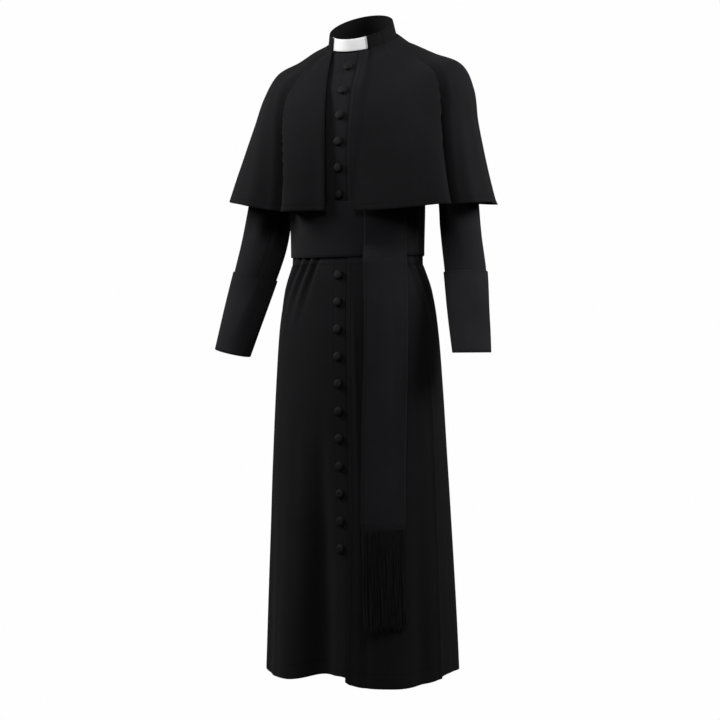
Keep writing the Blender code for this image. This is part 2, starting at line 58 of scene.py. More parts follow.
TORSO = table(
    "half front side back z_front z_side z_back",
    (0.075, -0.059, 0.0165, 0.092, -0.0305, 0.007, 0.044),
    (0.106, -0.072, 0.033, 0.106, -0.066, -0.008, 0.022),
    (0.148, -0.101, 0.048, 0.12, -0.118, -0.03, -0.02),
    (0.18, -0.117, 0.052, 0.129, -0.17, -0.056, -0.075),
    (0.186, -0.125, 0.046, 0.133, -0.215, -0.108, -0.135),
    (0.18, -0.1285, 0.03, 0.131, -0.262, -0.18, -0.2),
    (0.165, -0.126, 0.01, 0.123, -0.31, -0.26, -0.27),
    (0.1462, -0.123, -0.012, 0.111, -0.36, -0.34, -0.34),
    (0.145, -0.1235, -0.016, 0.112, -0.432, -0.424, -0.425),
    (0.1465, -0.1245, -0.017, 0.113, -0.489, -0.489, -0.489),
)

# Soft creases: where each starts and ends, round the body and in height, and how deep it is
BODICE_CREASES = table(
    "deg0 z0 deg1 z1 wide deep",
    (-31, -0.05, -17, -0.24, 5.0, 0.0016),
    (30, -0.06, 18, -0.26, 5.0, 0.0016),
    (-6, -0.09, -10, -0.33, 2.2, -0.0008),
    (150, -0.05, 165, -0.40, 7.0, -0.0025),
    (210, -0.05, 196, -0.38, 7.0, -0.0025),
    (120, -0.20, 132, -0.48, 6.0, 0.0022),
    (240, -0.22, 229, -0.48, 6.0, 0.0022),
)

# Gathers that fan out from under the fascia, across the waist seam and into the skirt
WAIST_GATHERS = table(
    "deg0 z0 deg1 z1 wide deep widen rise",
    (-18, -0.445, -36, -0.640, 1.8, -0.0046, 1.8, 0.15),
    (-23, -0.445, -43, -0.660, 1.9, 0.0030, 1.6, 0.15),
    (-28, -0.445, -51, -0.640, 2.0, -0.0050, 1.8, 0.15),
    (-34, -0.445, -57, -0.680, 1.9, 0.0030, 1.6, 0.15),
    (-40, -0.445, -64, -0.620, 2.0, -0.0046, 1.8, 0.15),
    (-47, -0.445, -68, -0.640, 2.2, 0.0024, 1.4, 0.15),
    (-56, -0.445, -77, -0.640, 2.4, -0.0036, 1.4, 0.15),
    (64, -0.445, 70, -0.620, 2.2, -0.0030, 1.4, 0.15),
    (76, -0.445, 84, -0.650, 2.6, -0.0032, 1.4, 0.15),
)


def read(rows, key, at, by=None):
    """A column of a table at places along it, through a smooth curve."""
    xs = np.array([row[by] for row in rows] if by else range(len(rows)), dtype=float)
    ys = np.array([row[key] for row in rows], dtype=float)
    slopes = np.empty_like(ys)
    slopes[1:-1] = (ys[2:] - ys[:-2]) / (xs[2:] - xs[:-2])
    slopes[0] = (ys[1] - ys[0]) / (xs[1] - xs[0])
    slopes[-1] = (ys[-1] - ys[-2]) / (xs[-1] - xs[-2])
    i = np.clip(np.searchsorted(xs, at, side="right") - 1, 0, len(xs) - 2)
    span = xs[i + 1] - xs[i]
    t = (at - xs[i]) / span
    a, b, d = slopes[i] * span, slopes[i + 1] * span, ys[i + 1] - ys[i]
    return ys[i] + t * (a + t * ((3 * d - 2 * a - b) + t * (a + b - 2 * d)))


def ease(t):
    t = np.clip(t, 0.0, 1.0)
    return t * t * (3.0 - 2.0 * t)


def turn_off(deg, centre):
    """How many degrees a place is round from another, from -180 to 180."""
    return (deg - centre + 180.0) % 360.0 - 180.0


def bump(deg, centre, wide):
    """A rounded rise from 0 to 1 and back, wide degrees to each side of the centre."""
    return 0.5 + 0.5 * np.cos(np.pi * np.minimum(np.abs(turn_off(deg, centre)) / wide, 1.0))


def folds_push(folds, along, last, deg):
    """How far a table's folds move a place out, growing from where they start to the hem."""
    push = np.zeros_like(deg)
    for fold in folds:
        reach = ease((along - fold["start"]) / (last - fold["start"]))
        centre = fold["deg"] + fold.get("lean", 0.0) * (1.0 - along / last) ** 2
        push += fold["deep"] * reach * bump(deg, centre, fold["wide"])
    return push


def creases_push(creases, deg, z):
    """Soft ridges and troughs that run from one place on the cloth to another."""
    push = np.zeros_like(deg)
    for crease in creases:
        t = np.clip((crease["z0"] - z) / (crease["z0"] - crease["z1"]), 0.0, 1.0)
        centre = crease["deg0"] + (crease["deg1"] - crease["deg0"]) * t ** crease.get("sway", 1.0)
        wide = crease["wide"] * (1.0 + crease.get("widen", 0.8) * t)
        fade = ease(t / crease.get("rise", 0.25)) * ease((1.0 - t) / crease.get("fade", 0.6))
        push += crease["deep"] * fade * np.exp(-((turn_off(deg, centre) / wide) ** 2))
    return push


def sin_cos(deg):
    return np.sin(np.radians(deg)), np.cos(np.radians(deg))


def ring_place(rows, at, deg):
    """Places on a form that wraps the shoulders: rings that are lower at the front."""
    half, front, side, back = (read(rows, key, at) for key in ("half", "front", "side", "back"))
    z_front, z_side, z_back = (read(rows, key, at) for key in ("z_front", "z_side", "z_back"))
    s, c = sin_cos(deg)
    middle, depth = (front + back) / 2, (back - front) / 2
    end = np.where(c > 0, z_front, z_back)
    y = middle - depth * c + (side - middle) * s * s
    z = z_side + (end - z_side) * np.abs(c) ** (1.0 + ease(at / 1.5))
    return np.stack([half * s, y, z], axis=-1)


def outward(place, along, deg):
    """The outward direction of a surface at places on it."""
    down = place(along + 0.02, deg) - place(along - 0.02, deg)
    across = place(along, deg + 0.5) - place(along, deg - 0.5)
    out = np.cross(down, across)
    return out / np.linalg.norm(out, axis=-1, keepdims=True)


def creased(place, creases):
    """The same surface with its creases pressed into it."""

    def creased_place(along, deg):
        here = place(along, deg)
        push = creases_push(creases, deg, here[..., 2])
        return here + outward(place, along, deg) * push[..., None]

    return creased_place


def degrees_at_x(place, along, x):
    """The angles on a form's front half where it passes a given x."""
    low, high = np.full_like(along, -80.0), np.full_like(along, 80.0)
    for _ in range(26):
        mid = (low + high) / 2
        less = place(along, mid)[..., 0] < x
        low, high = np.where(less, mid, low), np.where(less, high, mid)
    return (low + high) / 2


def lapped(place, form, edge_deg, rise):
    """The left front's surface: it stands off the right front near its edge."""

    def lap(along, deg):
        here = place(along, deg)
        across = form(along, deg + 0.5) - form(along, deg - 0.5)
        out = np.stack([across[..., 1], -across[..., 0], np.zeros_like(deg)], axis=-1)
        out /= np.linalg.norm(out, axis=-1, keepdims=True)
        far = np.linalg.norm(form(along, deg) - form(along, edge_deg(along)), axis=-1)
        lift = rise(along) * (1.0 - ease((far - LAP_FROM) / LAP_REACH))
        return here + out * lift[..., None]

    return lap


def corners(mesh):
    """The places of a mesh's corners, one to a row."""
    flat = np.empty(len(mesh.vertices) * 3)
    mesh.vertices.foreach_get("co", flat)
    return flat.reshape(-1, 3)


def lay_cloth(name, place, alongs, degs, rows, cols, roll=0.0004, edges="first last"):
    """A grid of cloth laid on a surface between two edges, which are rolled in a little.

    Its UV maps are its cut in metres: from its first edge and its top, and from its last
    edge and its bottom.
    """
    bpy.ops.mesh.primitive_grid_add(x_subdivisions=cols, y_subdivisions=rows, size=1.0)
    piece = bpy.context.object
    piece.name = name
    mesh = piece.data
    flat = corners(mesh)
    u, v = flat[:, 0] + 0.5, 0.5 - flat[:, 1]
    if edges:
        u = np.where(np.isclose(u, 1 / cols), 0.3 / cols, u)
        u = np.where(np.isclose(u, 1 - 1 / cols), 1 - 0.3 / cols, u)
        v = np.where(np.isclose(v, 1 / rows), 0.3 / rows, v)
        v = np.where(np.isclose(v, 1 - 1 / rows), 1 - 0.3 / rows, v)
    along = alongs[0] + (alongs[1] - alongs[0]) * v
    first, last = (deg(along) if callable(deg) else np.full_like(along, deg) for deg in degs)
    deg = first + (last - first) * u
    order = np.lexsort((np.round(u, 6), np.round(v, 6)))
    net = place(along, deg)[order].reshape(rows + 1, cols + 1, 3)
    down, across = np.gradient(net, axis=0), np.gradient(net, axis=1)
    out = np.cross(down, across)
    out /= np.linalg.norm(out, axis=-1, keepdims=True)
    u_m, v_m = np.zeros((rows + 1, cols + 1)), np.zeros((rows + 1, cols + 1))
    u_m[:, 1:] = np.cumsum(np.linalg.norm(np.diff(net, axis=1), axis=-1), axis=1)
    v_m[1:] = np.cumsum(np.linalg.norm(np.diff(net, axis=0), axis=-1), axis=0)
    for side, edge, inner in (("first", 0, 1), ("last", cols, cols - 1)):
        if side in edges:
            pull = net[:, inner] - net[:, edge]
            pull /= np.linalg.norm(pull, axis=-1, keepdims=True)
            net[:, edge] += pull * SEAM_GAP / 2 - out[:, edge] * roll
    for side, edge in (("top", 0), ("bottom", rows)):
        if side in edges:
            net[edge] -= out[edge] * roll
    placed = np.empty((len(order), 3))
    placed[order] = net.reshape(-1, 3)
    mesh.vertices.foreach_set("co", placed.reshape(-1))
    near, far = np.empty((len(order), 2)), np.empty((len(order), 2))
    near[order] = np.stack([u_m.reshape(-1), v_m.reshape(-1)], axis=-1)
    far[order] = np.stack([(u_m[:, -1:] - u_m).reshape(-1), (v_m[-1:] - v_m).reshape(-1)], axis=-1)
    corner = np.empty(len(mesh.loops), dtype=int)
    mesh.loops.foreach_get("vertex_index", corner)
    mesh.uv_layers[0].name = "cut"
    mesh.uv_layers.new(name="cut from the far edges")
    mesh.uv_layers["cut"].data.foreach_set("uv", near[corner].reshape(-1))
    mesh.uv_layers["cut from the far edges"].data.foreach_set("uv", far[corner].reshape(-1))
    mesh.update()
    return piece


def thicken(piece, thick, sharp=50.0):
    """Gives a laid cloth its thickness, inwards from its face."""
    bpy.context.view_layer.objects.active = piece
    solid = piece.modifiers.new("thickness", "SOLIDIFY")
    solid.thickness = thick
    solid.offset = -1.0
    bpy.ops.object.modifier_apply(modifier=solid.name)
    bpy.ops.object.select_all(action="DESELECT")
    piece.select_set(True)
    bpy.ops.object.shade_smooth_by_angle(angle=math.radians(sharp))


def cut_out(piece, cutter):
    """Cuts one closed form out of a piece."""
    bpy.context.view_layer.objects.active = piece
    tool = piece.modifiers.new("armhole", "BOOLEAN")
    tool.operation = "DIFFERENCE"
    tool.solver = "EXACT"
    tool.object = cutter
    bpy.ops.object.modifier_apply(modifier=tool.name)


def closed_form(name, place, alongs, rows, cols, grow):
    """A closed solid that fills a form, only ever used to cut with."""
    turns = np.arange(cols) * 360.0 / cols
    v, u = np.meshgrid(np.linspace(*alongs, rows + 1), turns, indexing="ij")
    v, u = v.reshape(-1), u.reshape(-1)
    points = place(v, u) + outward(place, v, u) * grow
    faces = []
    for i in range(rows):
        for j in range(cols):
            k = (j + 1) % cols
            faces.append((i * cols + j, (i + 1) * cols + j, (i + 1) * cols + k, i * cols + k))
    faces.append(tuple(range(cols)))
    faces.append(tuple(rows * cols + j for j in reversed(range(cols))))
    mesh = bpy.data.meshes.new(name)
    mesh.from_pydata([tuple(p) for p in points], [], faces)
    form = bpy.data.objects.new(name, mesh)
    bpy.context.scene.collection.objects.link(form)
    return form


class Wire:
    """One socket of a shader. Sums and products of wires add their own Math nodes."""

    def __init__(self, tree, socket=None):
        self.tree = tree
        self.socket = socket

    def node(self, kind, settings, inputs, out=0):
        made = self.tree.nodes.new(kind)
        for key, value in settings.items():
            setattr(made, key, value)
        for key, value in inputs.items():
            if isinstance(value, Wire):
                self.tree.links.new(value.socket, made.inputs[key])
            else:
                made.inputs[key].default_value = value
        return Wire(self.tree, made.outputs[out])

    def maths(self, operation, *values):
        return self.node("ShaderNodeMath", {"operation": operation}, dict(enumerate(values)))

    def __add__(self, other):
        return self.maths("ADD", self, other)

    def __sub__(self, other):
        return self.maths("SUBTRACT", self, other)

    def __mul__(self, other):
        return self.maths("MULTIPLY", self, other)

    def wave(self, pitch):
        return self.maths("SINE", self * (2 * math.pi / pitch))

    def near(self, centre, wide):
        """1 on a line at centre, falling to 0 at wide to each side of it."""
        off = self.maths("ABSOLUTE", self - centre)
        return self.node(
            "ShaderNodeMapRange",
            {"interpolation_type": "SMOOTHSTEP"},
            {"Value": off, "From Min": 0.0, "From Max": wide, "To Min": 1.0, "To Max": 0.0},
        )

    def feed(self, shader, name):
        self.tree.links.new(self.socket, shader.inputs[name])


def new_material(name, specular, sheen=0.0):
    """A material, its Principled shader and a wire to start its nodes from."""
    mat = bpy.data.materials.new(name)
    mat.use_nodes = True
    shader = mat.node_tree.nodes["Principled BSDF"]
    shader.inputs["Specular IOR Level"].default_value = specular
    shader.inputs["Sheen Weight"].default_value = sheen
    return mat, shader, Wire(mat.node_tree)


def noise(place, scale, detail=3.0):
    inputs = {"Vector": place, "Scale": scale, "Detail": detail}
    return place.node("ShaderNodeTexNoise", {}, inputs)


def split(place, *axes):
    """The separate coordinates of a place."""
    parts = place.node("ShaderNodeSeparateXYZ", {}, {0: place}).socket.node
    return [Wire(place.tree, parts.outputs[axis]) for axis in axes]


def blend(factor, dark, light):
    """A tint between a dark and a light one."""
    inputs = {"Factor": factor, "A": (*dark, 1.0), "B": (*light, 1.0)}
    return factor.node("ShaderNodeMix", {"data_type": "RGBA"}, inputs, out=2)


def bumped(height, strength, distance):
    inputs = {"Height": height, "Strength": strength, "Distance": distance}
    return height.node("ShaderNodeBump", {}, inputs)


def woven_cloth(name, tint, weave=0.0008, rough=0.85, sheen=0.025, stitches=(), groove_and_painted_shadow=()):
    """Woven cloth: warp and weft, a fibrous nap, faint cloudiness and lines of topstitching.

    A stitch line is the edge it runs along and how far in from that edge it lies, and a
    pressed groove has its half width as well. Each pressed groove is also painted darker in
    the colour, a painted shadow of an edge lapped over the cloth.
    """
    mat, shader, start = new_material(name, 0.06, sheen)
    shader.inputs["Sheen Roughness"].default_value = 0.50
    cut = start.node("ShaderNodeUVMap", {"uv_map": "cut"}, {})
    far_cut = start.node("ShaderNodeUVMap", {"uv_map": "cut from the far edges"}, {})
    u, v = split(cut, 0, 1)
    places = {"first": u, "top": v}
    places["last"], places["bottom"] = split(far_cut, 0, 1)
    here = start.node("ShaderNodeTexCoord", {}, {}, out=3)
    along_yarn = {"Vector": cut, "Scale": (1400.0, 90.0, 1.0)}
    nap = noise(here, 900.0)
    cloud = noise(here, 9.0, 5.0)
    yarn = noise(start.node("ShaderNodeMapping", {}, along_yarn), 1.0, 2.0)
    height = u.wave(weave) * v.wave(weave) * 0.30 + nap * 0.7 + yarn * 0.4
    tone = cloud * 0.60 + yarn * 0.22 + nap * 0.22
    for edge, inset in stitches:
        run = v if edge in ("first", "last") else u
        line = places[edge].near(inset, 0.0015)
        thread = line * run.maths("PINGPONG", run, 0.0015).near(0.0, 0.0012)
        height = height - line * 1.6 + thread * 1.8
        tone = tone - line * 0.45 + thread * 0.20
    # Each pressed groove dips the bump and is painted darker: a painted shadow of the edge lapped
    # over it.
    for edge, inset, wide in groove_and_painted_shadow:
        groove_shadow = places[edge].near(inset, wide)
        height = height - groove_shadow * 2.0
        tone = tone - groove_shadow * 0.50
    dark, light = ([value * share for value in tint] for share in (0.30, 1.70))
    blend(tone, dark, light).feed(shader, "Base Color")
    (cloud * 0.10 + (rough - 0.05)).feed(shader, "Roughness")
    bumped(height, 0.5, 0.0003).feed(shader, "Normal")
    return mat


def finish_piece(piece, cloth, slot, *nodes):
    """Hands a finished piece its cloth, hangs it from the root and hides the solids it stands for.
    """
    piece.data.materials.clear()
    piece.data.materials.append(cloth)
    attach(piece, "root")
    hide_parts(*nodes)


def declare_cut(piece, width, length):
    """Works out a cloth's area, shared by its two faces, beside the size it was cut to; nothing is
    kept.
    """
    area = sum(face.area for face in piece.data.polygons) / 2
    min(area, width * length)


def torso_form(at, deg):
    return ring_place(TORSO, at, deg)


def torso_edge(at):
    return degrees_at_x(torso_form, at, BUTTON_TO_EDGE)


def torso_under(at):
    return degrees_at_x(torso_form, at, BUTTON_TO_EDGE + UNDERLAP)


SLEEVE = table(
    "x y z across along lean twist pitch",
    (0.130, 0.050, -0.098, 0.060, 0.058, 62, 0, 0),
    (0.160, 0.050, -0.108, 0.059, 0.058, 52, 0, 0),
    (0.184, 0.047, -0.132, 0.055, 0.056, 34, 5, 0),
    (0.198, 0.040, -0.172, 0.052, 0.052, 18, 15, 2),
    (0.208, 0.033, -0.240, 0.050, 0.046, 9, 30, 4),
    (0.219, 0.020, -0.330, 0.051, 0.041, 8, 40, 5),
    (0.231, 0.004, -0.428, 0.0515, 0.040, 8, 40, 4),
    (0.247, -0.016, -0.508, 0.0485, 0.0415, 7, 35, 0),
    (0.262, -0.044, -0.594, 0.0435, 0.0400, 7, 20, 0),
    (0.277, -0.071, -0.681, 0.0380, 0.0375, 7, 0, 0),
)
SLEEVE_END = 8.95
CUFF_LEVEL_DEG = 6.5


def sleeve_form(side, grow=0.0):
    """The sleeve's surface, square to its centreline as it leans out from the body."""

    def place(at, deg):
        x, y, z = (read(SLEEVE, key, at) for key in ("x", "y", "z"))
        across, along = (read(SLEEVE, key, at) + grow for key in ("across", "along"))
        level = -side * CUFF_LEVEL_DEG * ease((at - 5.0) / 2.0)
        tilt = np.radians(read(SLEEVE, "lean", at) + level)
        twist, pitch = (np.radians(read(SLEEVE, key, at)) for key in ("twist", "pitch"))
        turn = np.radians(deg * side)
        none = np.zeros_like(x)
        arm_out = np.stack([np.cos(tilt), none, np.sin(tilt)], axis=-1)
        forward = np.stack([none, -np.cos(pitch), np.sin(pitch)], axis=-1)
        ct, st = np.cos(twist)[..., None], np.sin(twist)[..., None]
        wide = (arm_out * ct + forward * st) * (across * np.sin(turn))[..., None]
        deep = (forward * ct - arm_out * st) * (along * np.cos(turn))[..., None]
        points = np.stack([x, y, z], axis=-1) + wide + deep
        points[..., 0] *= side
        return points

    return place


# All the wool pieces are one cloth, but each gets its own tint that paints in the light on it: lit
# copies for the sleeves and cuffs, shaded copies for the cape, skirt, collar and buttons. This is
# the bodice's tint.
WOOL = (0.0082, 0.0082, 0.0094)
beside_buttons = [("last", 0.0505)]
# Painted shadow: a dark line in the right fronts' colour, 22.5 mm in from their edge under the lap,
# where the left front's edge lies over them, with a shallow groove in the bump.
lap_groove_and_painted_shadow = [("last", 0.0225, 0.0030)]
front_edge = [("first", 0.0022), ("first", 0.0100)]
wool = woven_cloth("black wool", WOOL)
# The bodice's right front carries the painted lap shadow beside its buttons.
underlap_wool = woven_cloth(
    "black wool, stitched beside the buttons, painted lap shadow", WOOL, stitches=beside_buttons, groove_and_painted_shadow=lap_groove_and_painted_shadow
)
lapped_wool = woven_cloth("black wool, stitched front edge", WOOL, stitches=front_edge)
torso_place = creased(torso_form, BODICE_CREASES + WAIST_GATHERS)
left_front = lapped(torso_place, torso_form, torso_edge, lambda at: np.full_like(at, LAP_RISE))
for name, place, degs, cols, cloth, width, length in (
    ("bodice_front_right", torso_place, (-90.0, torso_under), 54, underlap_wool, 0.30, 0.53),
    ("bodice_front_left", left_front, (torso_edge, 90.0), 44, lapped_wool, 0.24, 0.53),
    ("bodice_back_left", torso_place, (90.0, 180.0), 40, wool, 0.235, 0.57),
    ("bodice_back_right", torso_place, (180.0, 270.0), 40, wool, 0.235, 0.57),
):
    side = 1 if "left" in name else -1
    piece = lay_cloth("cloth_" + name, place, (0.0, 9.0), degs, 110, cols)
    thicken(piece, CLOTH)
    arm = closed_form("arm_space", sleeve_form(side, -CLOTH), (0.0, 4.0), 16, 40, 0.0)
    cut_out(piece, arm)
    bpy.data.objects.remove(arm, do_unlink=True)
    finish_piece(piece, cloth, "black_cloth", name)
    declare_cut(piece, width, length)

# Sleeves. Two-piece sleeves of the same wool: a top and an under sleeve, seamed in front and
# behind and set into the armholes. They hang a little forward, slightly bent at the elbow,
# with soft drag folds in the crook and below the cape.
SLEEVE_CREASES = table(
    "deg0 z0 deg1 z1 wide deep",
    (70, -0.20, 52, -0.50, 9, -0.0030),
    (35, -0.26, 20, -0.46, 10, 0.0026),
    (-20, -0.34, 30, -0.47, 12, -0.0022),
    (-30, -0.38, 10, -0.50, 10, 0.0018),
    (110, -0.28, 96, -0.52, 12, 0.0020),
    (150, -0.33, 190, -0.46, 13, -0.0024),
    (200, -0.36, 160, -0.50, 13, 0.0020),
    (-70, -0.30, -55, -0.50, 13, -0.0022),
)
# Painted light: the sleeves' wool gets a lighter tint than the bodice's, a lit copy of the same
# cloth.
sleeve_wool_painted_lighter = woven_cloth("black wool, sleeves", (0.0108, 0.0108, 0.0122))
torso_space = closed_form("torso_space", torso_form, (0.0, 9.0), 60, 96, ARMHOLE_GAP)
for tag, side in (("left", 1), ("right", -1)):
    mirrored = [
        dict(crease, deg0=crease["deg0"] * side, deg1=crease["deg1"] * side)
        for crease in SLEEVE_CREASES
    ]
    arm_place = creased(sleeve_form(side), mirrored)
    for part, middle, width, length in (
        ("top", 90.0 * side, 0.175, 0.66),
        ("under", -90.0 * side, 0.165, 0.60),
    ):
        name = f"sleeve_{part}_{tag}"
        degs = (middle - 90.0, middle + 90.0)
        piece = lay_cloth("cloth_" + name, arm_place, (0.0, SLEEVE_END), degs, 140, 36)
        thicken(piece, CLOTH)
        cut_out(piece, torso_space)
        finish_piece(piece, sleeve_wool_painted_lighter, "black_cloth", name)
        declare_cut(piece, width, length)
bpy.data.objects.remove(torso_space, do_unlink=True)

# Cuffs. Deep plain cuffs of two layers of the same wool, sewn round the wrist and turned back
# up over the sleeve, with a folded top edge, topstitched just inside both edges.
CUFF_STEP = 0.0028
CUFF_CLOTH = 0.0021
CUFF_RINGS = (7.0, 9.0)
ALL_ROUND = (0.0, 360.0)
TUBE_SEAM = 0.0002
CUFF_CREASES = table(
    "deg0 z0 deg1 z1 wide deep",
    (40, -0.50, 35, -0.69, 9, -0.0010),
    (5, -0.50, 0, -0.69, 9, 0.0010),
    (120, -0.50, 125, -0.69, 12, -0.0010),
)


def mend(piece, within=0.0):
    """Sews up a piece's doubled corners, if it has any, and turns its faces outwards."""
    bpy.context.view_layer.objects.active = piece
    bpy.ops.object.mode_set(mode="EDIT")
    bpy.ops.mesh.select_all(action="SELECT")
    if within:
        bpy.ops.mesh.remove_doubles(threshold=within)
    bpy.ops.mesh.normals_make_consistent(inside=False)
    bpy.ops.object.mode_set(mode="OBJECT")


# Painted light: the cuffs' wool gets the lightest tint of all, a lit copy of the same cloth.
cuff_wool_painted_lightest = woven_cloth(
    "black wool, cuffs",
    (0.0122, 0.0122, 0.0138),
    stitches=[("top", 0.0030), ("bottom", 0.0040)],
)
for tag, side in (("left", 1), ("right", -1)):
    cuff_place = creased(sleeve_form(side, CUFF_STEP), CUFF_CREASES)
    piece = lay_cloth(
        "cloth_cuff_" + tag, cuff_place, CUFF_RINGS, ALL_ROUND, 48, 84, 0.0007, "top bottom"
    )
    mend(piece, TUBE_SEAM)
    thicken(piece, CUFF_CLOTH)
    finish_piece(piece, cuff_wool_painted_lightest, "black_cloth", "cuff_" + tag)
    declare_cut(piece, 0.285, 0.180)

# Skirt. Four long flared panels of the same wool, gathered into the waist seam under the
# fascia. They fall to the ankles in deep soft folds, and the left front laps over the right
# one all the way down, with its bottom corner rounded off.
WAIST_Z = -0.489
HEM_Z = -1.375
SKIRT_FLARE = 0.010
SKIRT_TOP = WAIST_Z - 0.0003
LEFT_LONGER = 0.0075
CORNER_LIFT = 0.003
CORNER_WIDE = 0.010
FREE_EDGES = "first last bottom"

SKIRT = table(
    "share half front side back placket",
    (0.00, 0.1475, -0.1260, -0.0170, 0.1140, 0.0010),
    (0.06, 0.1660, -0.1340, -0.0135, 0.1260, 0.0025),
    (0.15, 0.1790, -0.1430, -0.0100, 0.1390, 0.0050),
    (0.30, 0.1885, -0.1500, -0.0090, 0.1500, 0.0095),
    (0.50, 0.1970, -0.1560, -0.0085, 0.1610, 0.0145),
    (0.65, 0.2020, -0.1600, -0.0070, 0.1700, 0.0180),
    (0.82, 0.2075, -0.1640, -0.0060, 0.1820, 0.0185),
    (1.00, 0.2130, -0.1680, -0.0040, 0.1960, 0.0175),
)

# Main folds: where round the body, how wide, how deep at the hem, and where they begin
SKIRT_FOLDS = table(
    "deg wide deep start",
    (-10, 17, -0.0200, 0.35),
    (-36, 15, 0.0080, 0.10),
    (-62, 14, -0.0070, 0.30),
    (34, 22, 0.0150, 0.45),
    (54, 9, -0.0030, 0.25),
    (66, 10, 0.0030, 0.20),
    (80, 11, -0.0030, 0.30),
    (104, 15, 0.0090, 0.25),
    (127, 13, -0.0110, 0.20),
    (149, 15, 0.0120, 0.10),
    (172, 14, -0.0120, 0.15),
    (197, 16, 0.0130, 0.10),
    (222, 14, -0.0110, 0.20),
    (247, 15, 0.0090, 0.25),
    (272, 13, -0.0060, 0.30),
)
HEM_LIFTS = table(
    "deg wide lift",
    (-8, 26, 0.014),
    (-62, 40, -0.009),
    (88, 40, 0.008),
    (38, 30, -0.002),
    (4, 11, 0.007),
)

# Pressed edges and long soft rolls between the main folds
SKIRT_CREASES = table(
    "deg0 z0 deg1 z1 wide deep widen fade rise",
    (72.5, -0.660, 72, -1.40, 1.7, 0.0042, 0.2, 0.02, 0.25),
    (-24, -0.78, -30, -1.40, 4.5, 0.0040, 0.6, 0.02, 0.25),
    (-12, -0.72, -15, -1.40, 4.0, -0.0120, 0.7, 0.02, 0.7),
    (100, -0.480, 112, -0.80, 3.5, -0.0040, 0.8, 0.6, 0.05),
    (118, -0.480, 120, -0.74, 3.2, 0.0036, 0.8, 0.6, 0.05),
    (136, -0.480, 128, -0.86, 3.4, -0.0044, 0.8, 0.6, 0.05),
    (158, -0.480, 162, -0.76, 3.0, -0.0040, 0.8, 0.6, 0.05),
    (171, -0.480, 174, -0.90, 3.2, 0.0034, 0.8, 0.6, 0.05),
    (186, -0.480, 183, -0.78, 3.0, -0.0042, 0.8, 0.6, 0.05),
    (206, -0.480, 210, -0.84, 3.4, -0.0040, 0.8, 0.6, 0.05),
    (224, -0.480, 221, -0.72, 3.2, 0.0034, 0.8, 0.6, 0.05),
    (241, -0.480, 236, -0.82, 3.4, -0.0044, 0.8, 0.6, 0.05),
    (258, -0.480, 252, -0.76, 3.0, -0.0034, 0.8, 0.6, 0.05),
)

# Rolls in the left front beside its edge, where it laps over the right one
LAP_CREASES = table(
    "deg0 z0 deg1 z1 wide deep widen rise fade",
    (11.5, -0.52, 12.5, -1.40, 1.8, 0.0020, 0.3, 0.2, 0.02),
    (19.0, -0.52, 17.5, -1.40, 1.4, -0.0022, 0.3, 0.2, 0.02),
)


def skirt_form(share, deg):
    """The skirt: its section with the main folds laid over it."""
    half, front, side, back, placket = (
        read(SKIRT, key, share, "share") for key in ("half", "front", "side", "back", "placket")
    )
    s, c = sin_cos(deg)
    middle, depth = (front + back) / 2, (back - front) / 2
    out = np.stack([s / half, -c / depth, np.zeros_like(half)], axis=-1)
    out /= np.linalg.norm(out, axis=-1, keepdims=True)
    lift = sum(hem["lift"] * bump(deg, hem["deg"], hem["wide"]) for hem in HEM_LIFTS)
    z = SKIRT_TOP + (HEM_Z + lift - SKIRT_TOP) * share
    y = middle - depth * c + (side - middle) * s * s
    here = np.stack([half * s + placket * np.maximum(c, 0.0) ** 2, y, z], axis=-1)
    return here + out * folds_push(SKIRT_FOLDS, share, 1.0, deg)[..., None]


def skirt_edge(share):
    return degrees_at_x(skirt_form, share, read(SKIRT, "placket", share, "share") + BUTTON_TO_EDGE)


def skirt_under(share):
    x = read(SKIRT, "placket", share, "share") + BUTTON_TO_EDGE + UNDERLAP
    return degrees_at_x(skirt_form, share, x)


def skirt_rise(share):
    return LAP_RISE + SKIRT_FLARE * ease((share - 0.4) / 0.6)


def corner_rounded(place):
    """The left front, longer than the right one, with its bottom corner just rounded off."""

    def rounded(share, deg):
        here = place(share, deg)
        in_from_edge = np.linalg.norm(here - place(share, skirt_edge(share)), axis=-1)
        rounding = CORNER_LIFT * (1.0 - ease(in_from_edge / CORNER_WIDE))
        drop = LEFT_LONGER * bump(deg, 4, 11) - rounding
        here[..., 2] -= drop * ease((share - 0.9) / 0.1)
        return here

    return rounded


skirt_place = creased(skirt_form, WAIST_GATHERS + SKIRT_CREASES)
skirt_edged = creased(skirt_form, WAIST_GATHERS + SKIRT_CREASES + LAP_CREASES)
skirt_left = corner_rounded(lapped(skirt_edged, skirt_form, skirt_edge, skirt_rise))
# Painted shade: the skirt's wool gets a darker tint than the bodice's, a shaded copy of the same
# cloth.
SKIRT_WOOL_PAINTED_DARKER = (0.0051, 0.0051, 0.0059)
hemmed = [("bottom", 0.030), ("top", 0.0045)]
skirt_wool = woven_cloth("black wool, skirt", SKIRT_WOOL_PAINTED_DARKER, stitches=hemmed)
skirt_front_wool = woven_cloth(
    "black wool, skirt front edge", SKIRT_WOOL_PAINTED_DARKER, stitches=hemmed + front_edge
)
